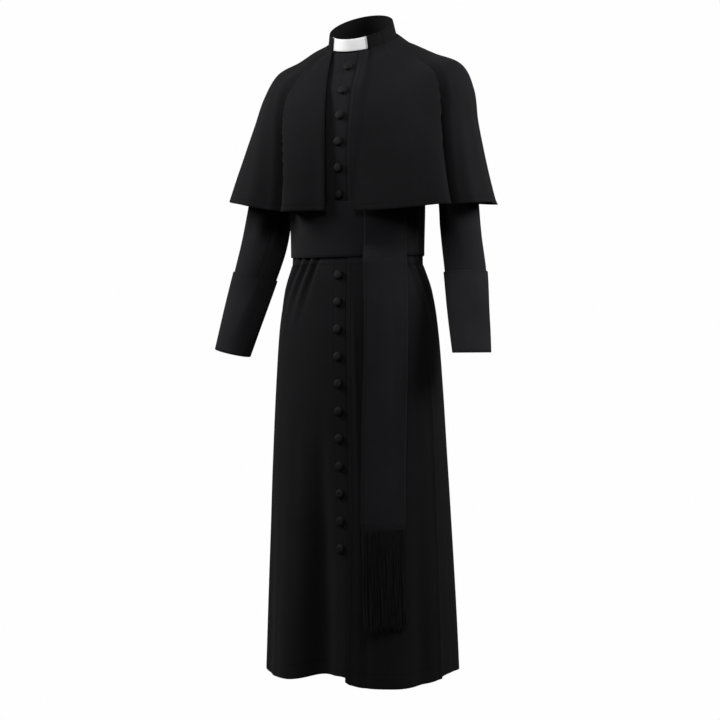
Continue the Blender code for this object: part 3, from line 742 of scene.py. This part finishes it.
# The skirt's right front carries the painted lap shadow beside its buttons.
skirt_underlap_wool = woven_cloth(
    "black wool, skirt beside the buttons, painted lap shadow",
    SKIRT_WOOL_PAINTED_DARKER,
    stitches=hemmed + beside_buttons,
    groove_and_painted_shadow=lap_groove_and_painted_shadow,
)
for name, place, degs, cols, cloth, width in (
    ("skirt_front_right", skirt_place, (-90.0, skirt_under), 104, skirt_underlap_wool, 0.40),
    ("skirt_front_left", skirt_left, (skirt_edge, 90.0), 96, skirt_front_wool, 0.31),
    ("skirt_back_left", skirt_place, (90.0, 180.0), 76, skirt_wool, 0.345),
    ("skirt_back_right", skirt_place, (180.0, 270.0), 76, skirt_wool, 0.345),
):
    piece = lay_cloth("cloth_" + name, place, (0.0, 1.0), degs, 200, cols, edges=FREE_EDGES)
    thicken(piece, CLOTH)
    finish_piece(piece, cloth, "black_cloth", name)
    declare_cut(piece, width, 0.90)

# Collar. A stiff stand collar of three layers, open in front, with a white tab of smooth
# stiffened linen slipped in behind its two ends. Its edges are rolled over and topstitched.
COLLAR_CLOTH = 0.0024
COLLAR_TUCK = 0.0035
TAB_CLOTH = 0.0012
TAB_FROM_DEG = -40.0
TAB_TO_DEG = 30.0
COLLAR_CREASES = table(
    "deg0 z0 deg1 z1 wide deep widen rise fade",
    (61, 0.045, 63, -0.035, 1.6, -0.0013, 0.2, 0.02, 0.02),
    (56, 0.045, 58, -0.035, 2.4, 0.0007, 0.2, 0.02, 0.02),
    (-61, 0.045, -63, -0.035, 1.8, -0.0011, 0.2, 0.02, 0.02),
)


def collar_form(lift):
    """The stand collar: it leans in and forward, and is lowest in front."""

    def place(up, deg):
        s, c = sin_cos(deg)
        radius = 0.0748 - 0.0060 * up + lift
        middle = 0.0165 - 0.0085 * up
        y = middle - radius * c
        base = 0.0085 + (y - middle) * 0.50
        top = 0.0400 + (y - middle) * 0.60
        return np.stack([radius * s, y, base + (top - base) * up], axis=-1)

    return place


def collar_place(up, deg):
    """The collar's outer face, its lower edge turned in to the neck seam."""
    here = creased(collar_form(COLLAR_CLOTH / 2), COLLAR_CREASES)(up, deg)
    s, c = sin_cos(deg)
    inward = np.stack([-s, c, np.zeros_like(deg)], axis=-1)
    return here + inward * (COLLAR_TUCK * ease((0.05 - up) / 0.15))[..., None]


# Painted shade: the collar's wool gets the darkest tint, a shaded copy of the same cloth.
collar_wool_painted_darkest = woven_cloth(
    "black wool, collar",
    (0.0034, 0.0034, 0.0039),
    stitches=[("top", 0.0035), ("first", 0.0035), ("last", 0.0035)],
)
collar = lay_cloth(
    "cloth_collar",
    collar_place,
    (1.0, -0.12),
    (TAB_TO_DEG, 360.0 + TAB_FROM_DEG),
    16,
    150,
    0.0009,
    "first last top",
)
thicken(collar, COLLAR_CLOTH - 0.0006, 70.0)
finish_piece(collar, collar_wool_painted_darkest, "black_cloth", "collar")
declare_cut(collar, 0.40, 0.042)

white, white_shader, linen = new_material("stiff white linen", 0.35)
linen_place = linen.node("ShaderNodeUVMap", {"uv_map": "cut"}, {})
linen_u, linen_v = split(linen_place, 0, 1)
linen_cloud = noise(linen_place, 60.0)
blend(linen_cloud, (0.66, 0.66, 0.66), (0.72, 0.72, 0.715)).feed(white_shader, "Base Color")
(linen_cloud * 0.12 + 0.36).feed(white_shader, "Roughness")
bumped(linen_u.wave(0.0006) * linen_v.wave(0.0006), 0.25, 0.0001).feed(white_shader, "Normal")
tab = lay_cloth(
    "white_collar_tab",
    collar_form(-COLLAR_CLOTH / 2 - 0.0003),
    (0.97, 0.05),
    (TAB_FROM_DEG - 8.0, TAB_TO_DEG + 8.0),
    12,
    48,
    0.0003,
    "first last top bottom",
)
thicken(tab, TAB_CLOTH, 70.0)
finish_piece(tab, white, "white_tab", "collar_tab")
declare_cut(tab, 0.110, 0.034)

# Cape. A short shoulder cape of the same wool in two halves, seamed down the middle of the
# back and sewn in with the collar. It hangs open in front and breaks over each arm in one
# crisp fold. All its free edges are turned in and topstitched.
CAPE_CLOTH = 0.0018
CAPE_HEM_TILT = 0.013
CAPE_HEM_DROP = 0.007
CAPE_SQUARE = 0.026
CAPE = table(
    "half front side back z_front z_side z_back",
    (0.0785, -0.063, 0.0165, 0.0965, -0.029, 0.0115, 0.048),
    (0.11, -0.08, 0.034, 0.112, -0.065, 0.001, 0.026),
    (0.158, -0.108, 0.052, 0.128, -0.115, -0.02, -0.012),
    (0.214, -0.127, 0.063, 0.142, -0.162, -0.043, -0.062),
    (0.24, -0.136, 0.058, 0.151, -0.205, -0.096, -0.115),
    (0.253, -0.14, 0.043, 0.156, -0.25, -0.165, -0.17),
    (0.27, -0.1425, 0.03, 0.159, -0.296, -0.232, -0.225),
    (0.287, -0.1445, 0.018, 0.161, -0.34, -0.292, -0.278),
    (0.304, -0.146, 0.01, 0.163, -0.382, -0.349, -0.328),
)
CAPE_EDGES = table(
    "right left",
    (-0.045, 0.044),
    (-0.044, 0.050),
    (-0.038, 0.053),
    (-0.032, 0.053),
    (-0.029, 0.052),
    (-0.027, 0.050),
    (-0.026, 0.047),
    (-0.025, 0.044),
    (-0.024, 0.041),
)
CAPE_FOLDS = table(
    "deg lean wide deep start",
    (43, 22, 12, 0.016, 1.6),
    (54, 22, 9, -0.018, 2.2),
    (-18, -38, 13, 0.014, 1.8),
    (-31, -38, 11, -0.020, 2.2),
    (122, 0.0, 15, -0.014, 1.5),
    (141, 0.0, 11, 0.010, 1.5),
    (161, 0.0, 11, -0.008, 2.2),
    (182, 0.0, 12, 0.008, 2.2),
    (203, 0.0, 11, -0.008, 2.2),
    (222, 0.0, 11, 0.010, 1.5),
    (240, 0.0, 15, -0.014, 1.5),
)

# Breaks, where the cloth turns sharply in behind a fold: the side it falls away to, how far in
# it drops, over how many degrees, and how many degrees it takes to come out again
CAPE_BREAKS = table(
    "deg lean away deep over back start",
    (47.0, 22, 1, 0.0380, 1.6, 7.5, 1.4),
    (-22.9, -38, -1, 0.0420, 1.6, 8.0, 1.4),
)
CAPE_CREASES = table(
    "deg0 z0 deg1 z1 wide deep widen fade",
    (-50, -0.005, -30, -0.16, 2.6, -0.0018, 1.4, 0.6),
    (-58, -0.005, -40, -0.15, 3.0, 0.0018, 1.4, 0.6),
    (44, -0.010, 33, -0.22, 3.4, -0.0020, 1.2, 0.6),
    (20, -0.17, 24, -0.40, 4.0, -0.0020, 0.8, 0.05),
    (38, -0.15, 40, -0.40, 4.5, 0.0022, 0.8, 0.05),
    (78, -0.08, 80, -0.40, 4.5, 0.0026, 0.8, 0.05),
    (-74, -0.08, -76, -0.40, 5.0, 0.0026, 0.8, 0.05),
    (-22, -0.20, -20, -0.40, 4.0, -0.0016, 0.8, 0.05),
    (104, -0.10, 108, -0.36, 4.0, -0.0030, 0.8, 0.05),
    (170, -0.02, 172, -0.36, 3.6, -0.0024, 0.8, 0.05),
    (193, -0.04, 190, -0.36, 3.6, 0.0022, 0.8, 0.05),
    (256, -0.10, 252, -0.36, 4.0, -0.0030, 0.8, 0.05),
)


def cape_form(at, deg):
    """The cape's form, squared off over the arms, with its folds and breaks."""
    here = ring_place(CAPE, at, deg)
    s, c = sin_cos(deg)
    last = len(CAPE) - 1.0
    squared = CAPE_SQUARE * ease((at - 1.0) / 5.0) * (2 * s * c) ** 2
    push = squared + folds_push(CAPE_FOLDS, at, last, deg)
    for fall in CAPE_BREAKS:
        reach = ease((at - fall["start"]) / (last - fall["start"]) * 1.6)
        past = turn_off(deg, fall["deg"] + fall["lean"] * (1.0 - at / last) ** 2) * fall["away"]
        back = 1.0 - ease((past - fall["over"]) / fall["back"])
        push -= fall["deep"] * reach * ease(past / fall["over"]) * back
    dip = CAPE_HEM_DROP * bump(deg, -26, 24)
    drop = CAPE_HEM_TILT * s * ease(at / last) + dip * ease(at / last)
    return here + np.stack([s * push, -c * push, -drop], axis=-1)


def cape_edge(key):
    return lambda at: degrees_at_x(cape_form, at, read(CAPE_EDGES, key, at))


cape_place = creased(cape_form, CAPE_CREASES)
for name, degs, free_edge in (
    ("cape_left", (cape_edge("left"), 180.0), "first"),
    ("cape_right", (-180.0, cape_edge("right")), "last"),
):
    # Painted shade: the cape's wool gets a darker tint than the bodice's, a shaded copy of the same
    # cloth.
    cape_wool_painted_darker = woven_cloth(
        "black wool, " + name.replace("_", " "),
        (0.0051, 0.0051, 0.0059),
        stitches=[(free_edge, 0.0015), (free_edge, 0.0050), ("bottom", 0.0015), ("bottom", 0.0130)],
    )
    piece = lay_cloth(
        "cloth_" + name, cape_place, (0.0, 8.0), degs, 120, 170, 0.0005, FREE_EDGES
    )
    thicken(piece, CAPE_CLOTH)
    finish_piece(piece, cape_wool_painted_darker, "black_cloth", name)
    declare_cut(piece, 0.86, 0.45)

# Fascia band. A broad band of finer black cloth with a slightly blue cast, pulled flat round
# the waist over the waist seam and fastened behind the tail, where it puckers a little.
BAND_CLOTH = 0.0022
BAND_HEIGHT = 0.117
BAND_HALF = 0.1505
BAND_FRONT = 0.1310
BAND_BACK = 0.1200
BAND_SIDE_Y = -0.0160
BAND_TOP_Z = -0.352
BAND_FRONT_DIP = 0.009
FASCIA = (0.0054, 0.0053, 0.0064)
BAND_CREASES = table(
    "deg0 z0 deg1 z1 wide deep widen rise",
    (66, -0.352, 62, -0.420, 1.5, -0.0022, 0.8, 0.1),
    (71, -0.360, 78, -0.440, 1.4, 0.0018, 0.8, 0.2),
    (76, -0.352, 70, -0.450, 1.7, -0.0022, 0.6, 0.1),
    (84, -0.360, 88, -0.460, 2.2, -0.0018, 0.6, 0.2),
    (-40, -0.380, -55, -0.470, 5.0, -0.0008, 0.8, 0.3),
    (150, -0.350, 143, -0.470, 2.5, -0.0016, 0.8, 0.2),
    (215, -0.350, 224, -0.470, 2.5, -0.0016, 0.8, 0.2),
)


def band_form(share, deg):
    """The fascia band round the waist, a little lower in front than at the sides."""
    s, c = sin_cos(deg)
    spread = 0.0010 * np.cos(math.pi * share)
    depth = np.where(c > 0, BAND_FRONT, BAND_BACK)
    y = -(depth + spread) * c + BAND_SIDE_Y * s * s
    top = BAND_TOP_Z - BAND_FRONT_DIP * np.maximum(c, 0.0)
    return np.stack([(BAND_HALF + spread) * s, y, top - BAND_HEIGHT * share], axis=-1)


band_cloth = woven_cloth(
    "fascia cloth, band", FASCIA, 0.0006, 0.78, 0.05, [("top", 0.0030), ("bottom", 0.0030)]
)
band_place = creased(band_form, BAND_CREASES)
band = lay_cloth(
    "cloth_fascia_band", band_place, (0.0, 1.0), ALL_ROUND, 36, 220, 0.0007, "top bottom"
)
mend(band, TUBE_SEAM)
thicken(band, BAND_CLOTH - 0.0004)
finish_piece(band, band_cloth, "fascia_cloth", "fascia_band")
declare_cut(band, 0.875, 0.117)

# Fascia tail and fringe. One long tail of the same fascia cloth, folded over the band on the
# wearer's left and hanging plumb to below the knee, narrowly hemmed down both sides. Along its
# end a narrow woven header carries a fringe of twisted cords.
TAIL_WIDTH = 0.1005
TAIL_DEG = 41.8
TAIL_CLOTH = 0.0020
TAIL_AIR = 0.0026
TAIL_CLEAR = 0.0005
TAIL_EVENED = 13
TAIL_TOP_Z = -0.362
TAIL_HALF_DEG = 19.9
TAIL_BOW = 0.004
TAIL_FREE = 0.045
TAIL_SHIFT = -0.024
BAND_REACH = 0.150
TAIL_END_Z = -1.040
FRINGE_END_Z = -1.258
FRINGE_CLOTH = 0.0045
HEADER_DEEP = 0.010
STRANDS = 36
STRAND_RADIUS = 0.00115

tail_turn = math.radians(TAIL_DEG)
tail_across = np.array([math.cos(tail_turn), math.sin(tail_turn), 0.0])
tail_out = np.array([math.sin(tail_turn), -math.cos(tail_turn), 0.0])
under_net = np.meshgrid(np.linspace(0, 1, 61), np.linspace(10, 75, 40))
under_share, under_deg = (values.reshape(-1) for values in under_net)
under_tail = lapped(skirt_form, skirt_form, skirt_edge, skirt_rise)(under_share, under_deg)


def tail_shift(z):
    return TAIL_SHIFT * ease((TAIL_TOP_Z - z) / 0.75)


def tail_reach(z):
    """How far out the tail hangs: plumb from the fullest part of the skirt above it."""
    reaches = []
    for height in z:
        above = under_share <= (height - 0.02 - WAIST_Z) / (HEM_Z - WAIST_Z)
        u = (under_tail @ tail_across - tail_shift(height)) / (TAIL_WIDTH / 2)
        under = above & (np.abs(u) < 1.15)
        full = (under_tail @ tail_out + TAIL_BOW * u * u)[under]
        reaches.append(max(BAND_REACH, full.max()) if under.any() else BAND_REACH)
    return np.array(reaches) + TAIL_CLOTH + TAIL_AIR


heights = np.linspace(FRINGE_END_Z - 0.01, TAIL_TOP_Z, 90)
held_on = np.pad(tail_reach(heights), TAIL_EVENED // 2, mode="edge")
evened = np.convolve(held_on, np.full(TAIL_EVENED, 1 / TAIL_EVENED), mode="valid")
reach_at = evened + TAIL_CLEAR


def tail_form(spread, lift=0.0):
    """The tail as a strip that hugs the band at its top and hangs flatter below."""

    def place(drop, deg):
        z = TAIL_TOP_Z - drop
        u = deg / 90.0
        round_deg = TAIL_DEG + u * TAIL_HALF_DEG
        at_top = np.zeros_like(u)
        on_band = band_form(at_top, round_deg)
        on_band += outward(band_form, at_top, round_deg) * (TAIL_CLOTH + 0.0006)
        reach = np.interp(z, heights, reach_at)
        hanging = tail_out * (reach - TAIL_BOW * u * u + lift)[..., None]
        hanging = hanging + tail_across * (tail_shift(z) + u * TAIL_WIDTH / 2 * spread)[..., None]
        free = ease((TAIL_TOP_Z - BAND_HEIGHT * 0.75 - z) / TAIL_FREE)[..., None]
        here = on_band * (1.0 - free) + hanging * free
        here[..., 2] = z
        return here

    return place


TAIL_CREASES = table(
    "deg0 z0 deg1 z1 wide deep rise fade",
    (-25, -0.46, -10, -0.80, 14.0, 0.0010, 0.2, 0.6),
    (30, -0.55, 42, -1.00, 12.0, -0.0010, 0.3, 0.6),
    (80, -0.60, 80, -1.03, 9.0, 0.0012, 0.3, 0.1),
)
tail_cloth = woven_cloth(
    "fascia cloth, tail",
    FASCIA,
    0.0006,
    0.76,
    0.05,
    [("first", 0.0060), ("last", 0.0060), ("bottom", 0.0030)],
)
tail = lay_cloth(
    "cloth_fascia_tail",
    creased(tail_form(1.0), TAIL_CREASES),
    (0.0, TAIL_TOP_Z - TAIL_END_Z),
    (-90.0, 90.0),
    230,
    30,
    0.0006,
    "first last top",
)
thicken(tail, TAIL_CLOTH)
finish_piece(tail, tail_cloth, "fascia_cloth", "fascia_tail")

fringe_cord, cord_shader, cord = new_material("twisted fringe cord", 0.10, 0.02)
cord_u, cord_v = split(cord.node("ShaderNodeUVMap", {"uv_map": "cut"}, {}), 0, 1)
cord_twist = (cord_u * 0.0072 * 0.55 + cord_v).wave(0.0026)
cord_fuzz = noise(cord.node("ShaderNodeTexCoord", {}, {}, out=3), 600.0)
cord_tone = cord_twist * 0.35 + cord_fuzz * 0.5 + 0.2
blend(cord_tone, (0.0010, 0.0010, 0.0012), (0.0030, 0.0030, 0.0036)).feed(cord_shader, "Base Color")
(cord_fuzz * 0.15 + 0.62).feed(cord_shader, "Roughness")
bumped(cord_twist + cord_fuzz * 0.5, 0.8, 0.0003).feed(cord_shader, "Normal")

header = lay_cloth(
    "cloth_fascia_fringe",
    tail_form(0.975, 0.0008),
    (TAIL_TOP_Z - TAIL_END_Z + 0.0003, TAIL_TOP_Z - TAIL_END_Z + HEADER_DEEP),
    (-90.0, 90.0),
    6,
    30,
    0.0005,
    "first last bottom",
)
thicken(header, TAIL_CLOTH + 0.0008)
header.data.materials.append(fringe_cord)

spread_out = np.random.default_rng(7)
strands = [header]
for row, back in ((0, 0.0000), (1, -0.0022)):
    count = STRANDS - row
    for i in range(count):
        bpy.ops.mesh.primitive_uv_sphere_add(segments=8, ring_count=44, radius=1.0)
        strand = bpy.context.object
        mesh = strand.data
        ball = corners(mesh)
        t = np.arccos(np.clip(ball[:, 2], -1.0, 1.0)) / math.pi
        around = np.arctan2(ball[:, 1], ball[:, 0])
        ends = np.minimum(1.0, 9.0 * np.sqrt(t * (1.0 - t)))
        thin = STRAND_RADIUS * (0.85 + 0.3 * spread_out.random()) * ends
        end = FRINGE_END_Z + 0.012 * spread_out.random() ** 1.5 + (0.004 if row else 0.0)
        top = TAIL_END_Z - HEADER_DEEP + 0.004
        z = top + (end - top) * t
        sway, lean, phase = spread_out.normal(0, 0.8, 3)
        deg0 = -88.0 + 176.0 * (i + 0.5) / count
        wander = 2.2 * t * lean + 1.3 * np.sin(2.2 * math.pi * t + 3.0 * phase) * t * sway
        depth = back + 0.0008 * np.sin(2.6 * math.pi * t + 2.0 * phase)
        centre = tail_form(0.96, 0.0)(TAIL_TOP_Z - z, deg0 + wander * 1.8)
        centre = centre + tail_out * (depth + FRINGE_CLOTH - TAIL_CLOTH - STRAND_RADIUS)[:, None]
        placed = centre + tail_across * (np.cos(around) * thin)[:, None]
        placed = placed + tail_out * (np.sin(around) * thin)[:, None]
        mesh.vertices.foreach_set("co", placed.reshape(-1))
        mesh.uv_layers[0].name = "cut"
        ring_uv = np.empty(len(mesh.loops) * 2)
        mesh.uv_layers["cut"].data.foreach_get("uv", ring_uv)
        ring_uv = ring_uv.reshape(-1, 2) * np.array([1.0, top - end])
        mesh.uv_layers["cut"].data.foreach_set("uv", ring_uv.reshape(-1))
        bpy.ops.object.shade_smooth()
        strands.append(strand)
bpy.ops.object.select_all(action="DESELECT")
for strand in strands:
    strand.select_set(True)
bpy.context.view_layer.objects.active = header
bpy.ops.object.join()
mend(header)
finish_piece(header, fringe_cord, "fascia_cloth", "fascia_fringe")
declare_cut(tail, 0.106, 0.690)

# Buttons. Domed moulds covered with the same wool, gathered under and sewn on through a shank,
# six down the chest and eleven down the skirt.
BUTTON_RADIUS = 0.0100
BUTTON_HEIGHT = 0.0062
BUTTON_SHANK = 0.0014
BODICE_FIRST_Z = -0.0638
BODICE_PITCH = 0.0563
SKIRT_FIRST_Z = -0.5166
SKIRT_PITCH = 0.0586
DOME = table(
    "radius height",
    (0.90, 0.02),
    (0.97, 0.10),
    (1.00, 0.24),
    (0.985, 0.40),
    (0.93, 0.56),
    (0.83, 0.72),
    (0.68, 0.85),
    (0.50, 0.94),
    (0.32, 0.975),
    (0.16, 0.965),
    (0.05, 0.95),
)
button_wool_painted_darker, button_shader, button = new_material("covered button wool", 0.12, 0.012)
button_place = button.node("ShaderNodeTexCoord", {}, {}, out=3)
button_x, button_z = split(button_place, 0, 2)
button_nap = noise(button_place, 900.0)
button_weave = button_x.wave(0.0008) * button_z.wave(0.0008)
button_tone = button_nap * 0.7 + button_weave * 0.15 + 0.1
# Painted shade: the buttons' covering wool gets darker tints than the bodice's, a shaded copy of
# the same cloth.
BUTTON_DARK = (0.0018, 0.0018, 0.0021)
BUTTON_LIGHT = (0.0054, 0.0054, 0.0061)
blend(button_tone, BUTTON_DARK, BUTTON_LIGHT).feed(button_shader, "Base Color")
(button_nap * 0.14 + 0.56).feed(button_shader, "Roughness")
bumped(button_weave * 0.4 + button_nap, 0.5, 0.0003).feed(button_shader, "Normal")


def along_for_z(place, z, low, high):
    for _ in range(40):
        mid = (low + high) / 2
        if place(np.array([mid]), np.array([0.0]))[0, 2] > z:
            low = mid
        else:
            high = mid
    return (low + high) / 2


def make_button(name, here, out):
    """A dome drawn up ring by ring from a flat round foot, then set on the cloth."""
    bpy.ops.mesh.primitive_circle_add(vertices=32, radius=BUTTON_RADIUS, fill_type="NGON")
    piece = bpy.context.object
    piece.name = name
    bpy.ops.object.mode_set(mode="EDIT")
    bpy.ops.mesh.select_all(action="SELECT")
    bpy.ops.transform.resize(value=(0.5, 0.5, 1.0))
    before = dict(radius=0.5, height=0.0)
    for ring in DOME:
        rise = (ring["height"] - before["height"]) * BUTTON_HEIGHT
        grow = ring["radius"] / before["radius"]
        bpy.ops.mesh.extrude_region_move(TRANSFORM_OT_translate={"value": (0.0, 0.0, rise)})
        bpy.ops.transform.resize(value=(grow, grow, 1.0))
        before = ring
    bpy.ops.object.mode_set(mode="OBJECT")
    mend(piece)
    bpy.ops.object.shade_smooth_by_angle(angle=math.radians(60))
    across = np.array([1.0, 0.0, 0.0]) - out * out[0]
    across /= np.linalg.norm(across)
    up = np.cross(out, across)
    placed = corners(piece.data) @ np.stack([across, up, out]) + here
    piece.data.vertices.foreach_set("co", placed.reshape(-1))
    piece.data.update()
    return piece


spots = []
for i in range(6):
    at = np.array([along_for_z(torso_form, BODICE_FIRST_Z - BODICE_PITCH * i, 0.03, 8.9)])
    deg = np.array([0.0])
    spots.append((torso_form(at, deg)[0], outward(torso_form, at, deg)[0]))
for i in range(11):
    share = np.array([(SKIRT_FIRST_Z - SKIRT_PITCH * i - WAIST_Z) / (HEM_Z - WAIST_Z)])
    deg = degrees_at_x(skirt_form, share, read(SKIRT, "placket", share, "share"))
    spots.append((skirt_form(share, deg)[0], outward(skirt_form, share, deg)[0]))
for number, (here, out) in enumerate(spots, 1):
    piece = make_button(f"covered_button_{number:02d}", here + out * BUTTON_SHANK, out)
    finish_piece(piece, button_wool_painted_darker, "button_cloth", f"button_{number:02d}")

# Studio. A plain pale floor below the hem, a white surround and large soft lights at both
# sides, with the camera level with the middle of the garment and turned to its left front.
FLOOR_Z = -1.52
WHITE = 0.991
AMBIENT = 0.13
LIT_Z = -0.20
bpy.ops.mesh.primitive_plane_add(size=60.0, location=(0.0, 0.0, FLOOR_Z))
floor = bpy.context.object
floor.name = "studio_floor"
pale, pale_shader, glow = new_material("pale floor", 0.0)
pale_shader.inputs["Base Color"].default_value = (0.30, 0.30, 0.30, 1.0)
pale_shader.inputs["Roughness"].default_value = 0.9
surround = bpy.data.worlds.new("white surround")
surround.use_nodes = True
sky = Wire(surround.node_tree)
white_light = {"Color": (1.0, 1.0, 1.0, 1.0), "Strength": WHITE}
dim_light = {"Color": (1.0, 1.0, 1.0, 1.0), "Strength": AMBIENT}
for start, unseen, kind, output in (
    (glow, Wire(glow.tree, pale_shader.outputs["BSDF"]), "ShaderNodeEmission", "Material Output"),
    (sky, sky.node("ShaderNodeBackground", {}, dim_light), "ShaderNodeBackground", "World Output"),
):
    seen = start.node("ShaderNodeLightPath", {}, {})
    shaders = {0: seen, 1: unseen, 2: start.node(kind, {}, white_light)}
    start.node("ShaderNodeMixShader", {}, shaders).feed(start.tree.nodes[output], "Surface")
floor.data.materials.append(pale)
bpy.context.scene.world = surround

LIGHTS = table(
    "name azimuth height far wide tall power",
    ("left_softbox", -62, 0.65, 1.8, 0.7, 1.0, 19.5),
    ("right_softbox", 88, 0.60, 1.8, 0.7, 1.0, 19.5),
    ("front_fill", 12, 1.10, 2.8, 1.2, 1.2, 19),
)
for light in LIGHTS:
    turn = math.radians(light["azimuth"])
    lamp = bpy.data.lights.new(light["name"], "AREA")
    lamp.shape = "RECTANGLE"
    lamp.size, lamp.size_y = light["wide"], light["tall"]
    lamp.energy = light["power"]
    lamp.spread = math.radians(120)
    box = bpy.data.objects.new(light["name"], lamp)
    box.location = (math.sin(turn) * light["far"], -math.cos(turn) * light["far"], light["height"])
    tip = math.atan2(light["height"] - LIT_Z, light["far"])
    box.rotation_euler = (math.pi / 2 - tip, 0.0, turn)
    bpy.context.scene.collection.objects.link(box)

CAMERA_TURN = math.radians(21.0)
CAMERA_FAR = 3.0
CAMERA_Z = -0.69
lens = bpy.data.cameras.new("camera")
lens.lens = 67.95
lens.sensor_width = 36.0
lens.shift_y = -0.0042
camera = bpy.data.objects.new("camera", lens)
camera_out = (math.sin(CAMERA_TURN), -math.cos(CAMERA_TURN))
camera.location = (camera_out[0] * CAMERA_FAR, camera_out[1] * CAMERA_FAR, CAMERA_Z)
camera.rotation_euler = (math.pi / 2, 0.0, CAMERA_TURN)
bpy.context.scene.collection.objects.link(camera)
bpy.context.scene.camera = camera
bpy.context.scene.view_settings.view_transform = "Standard"
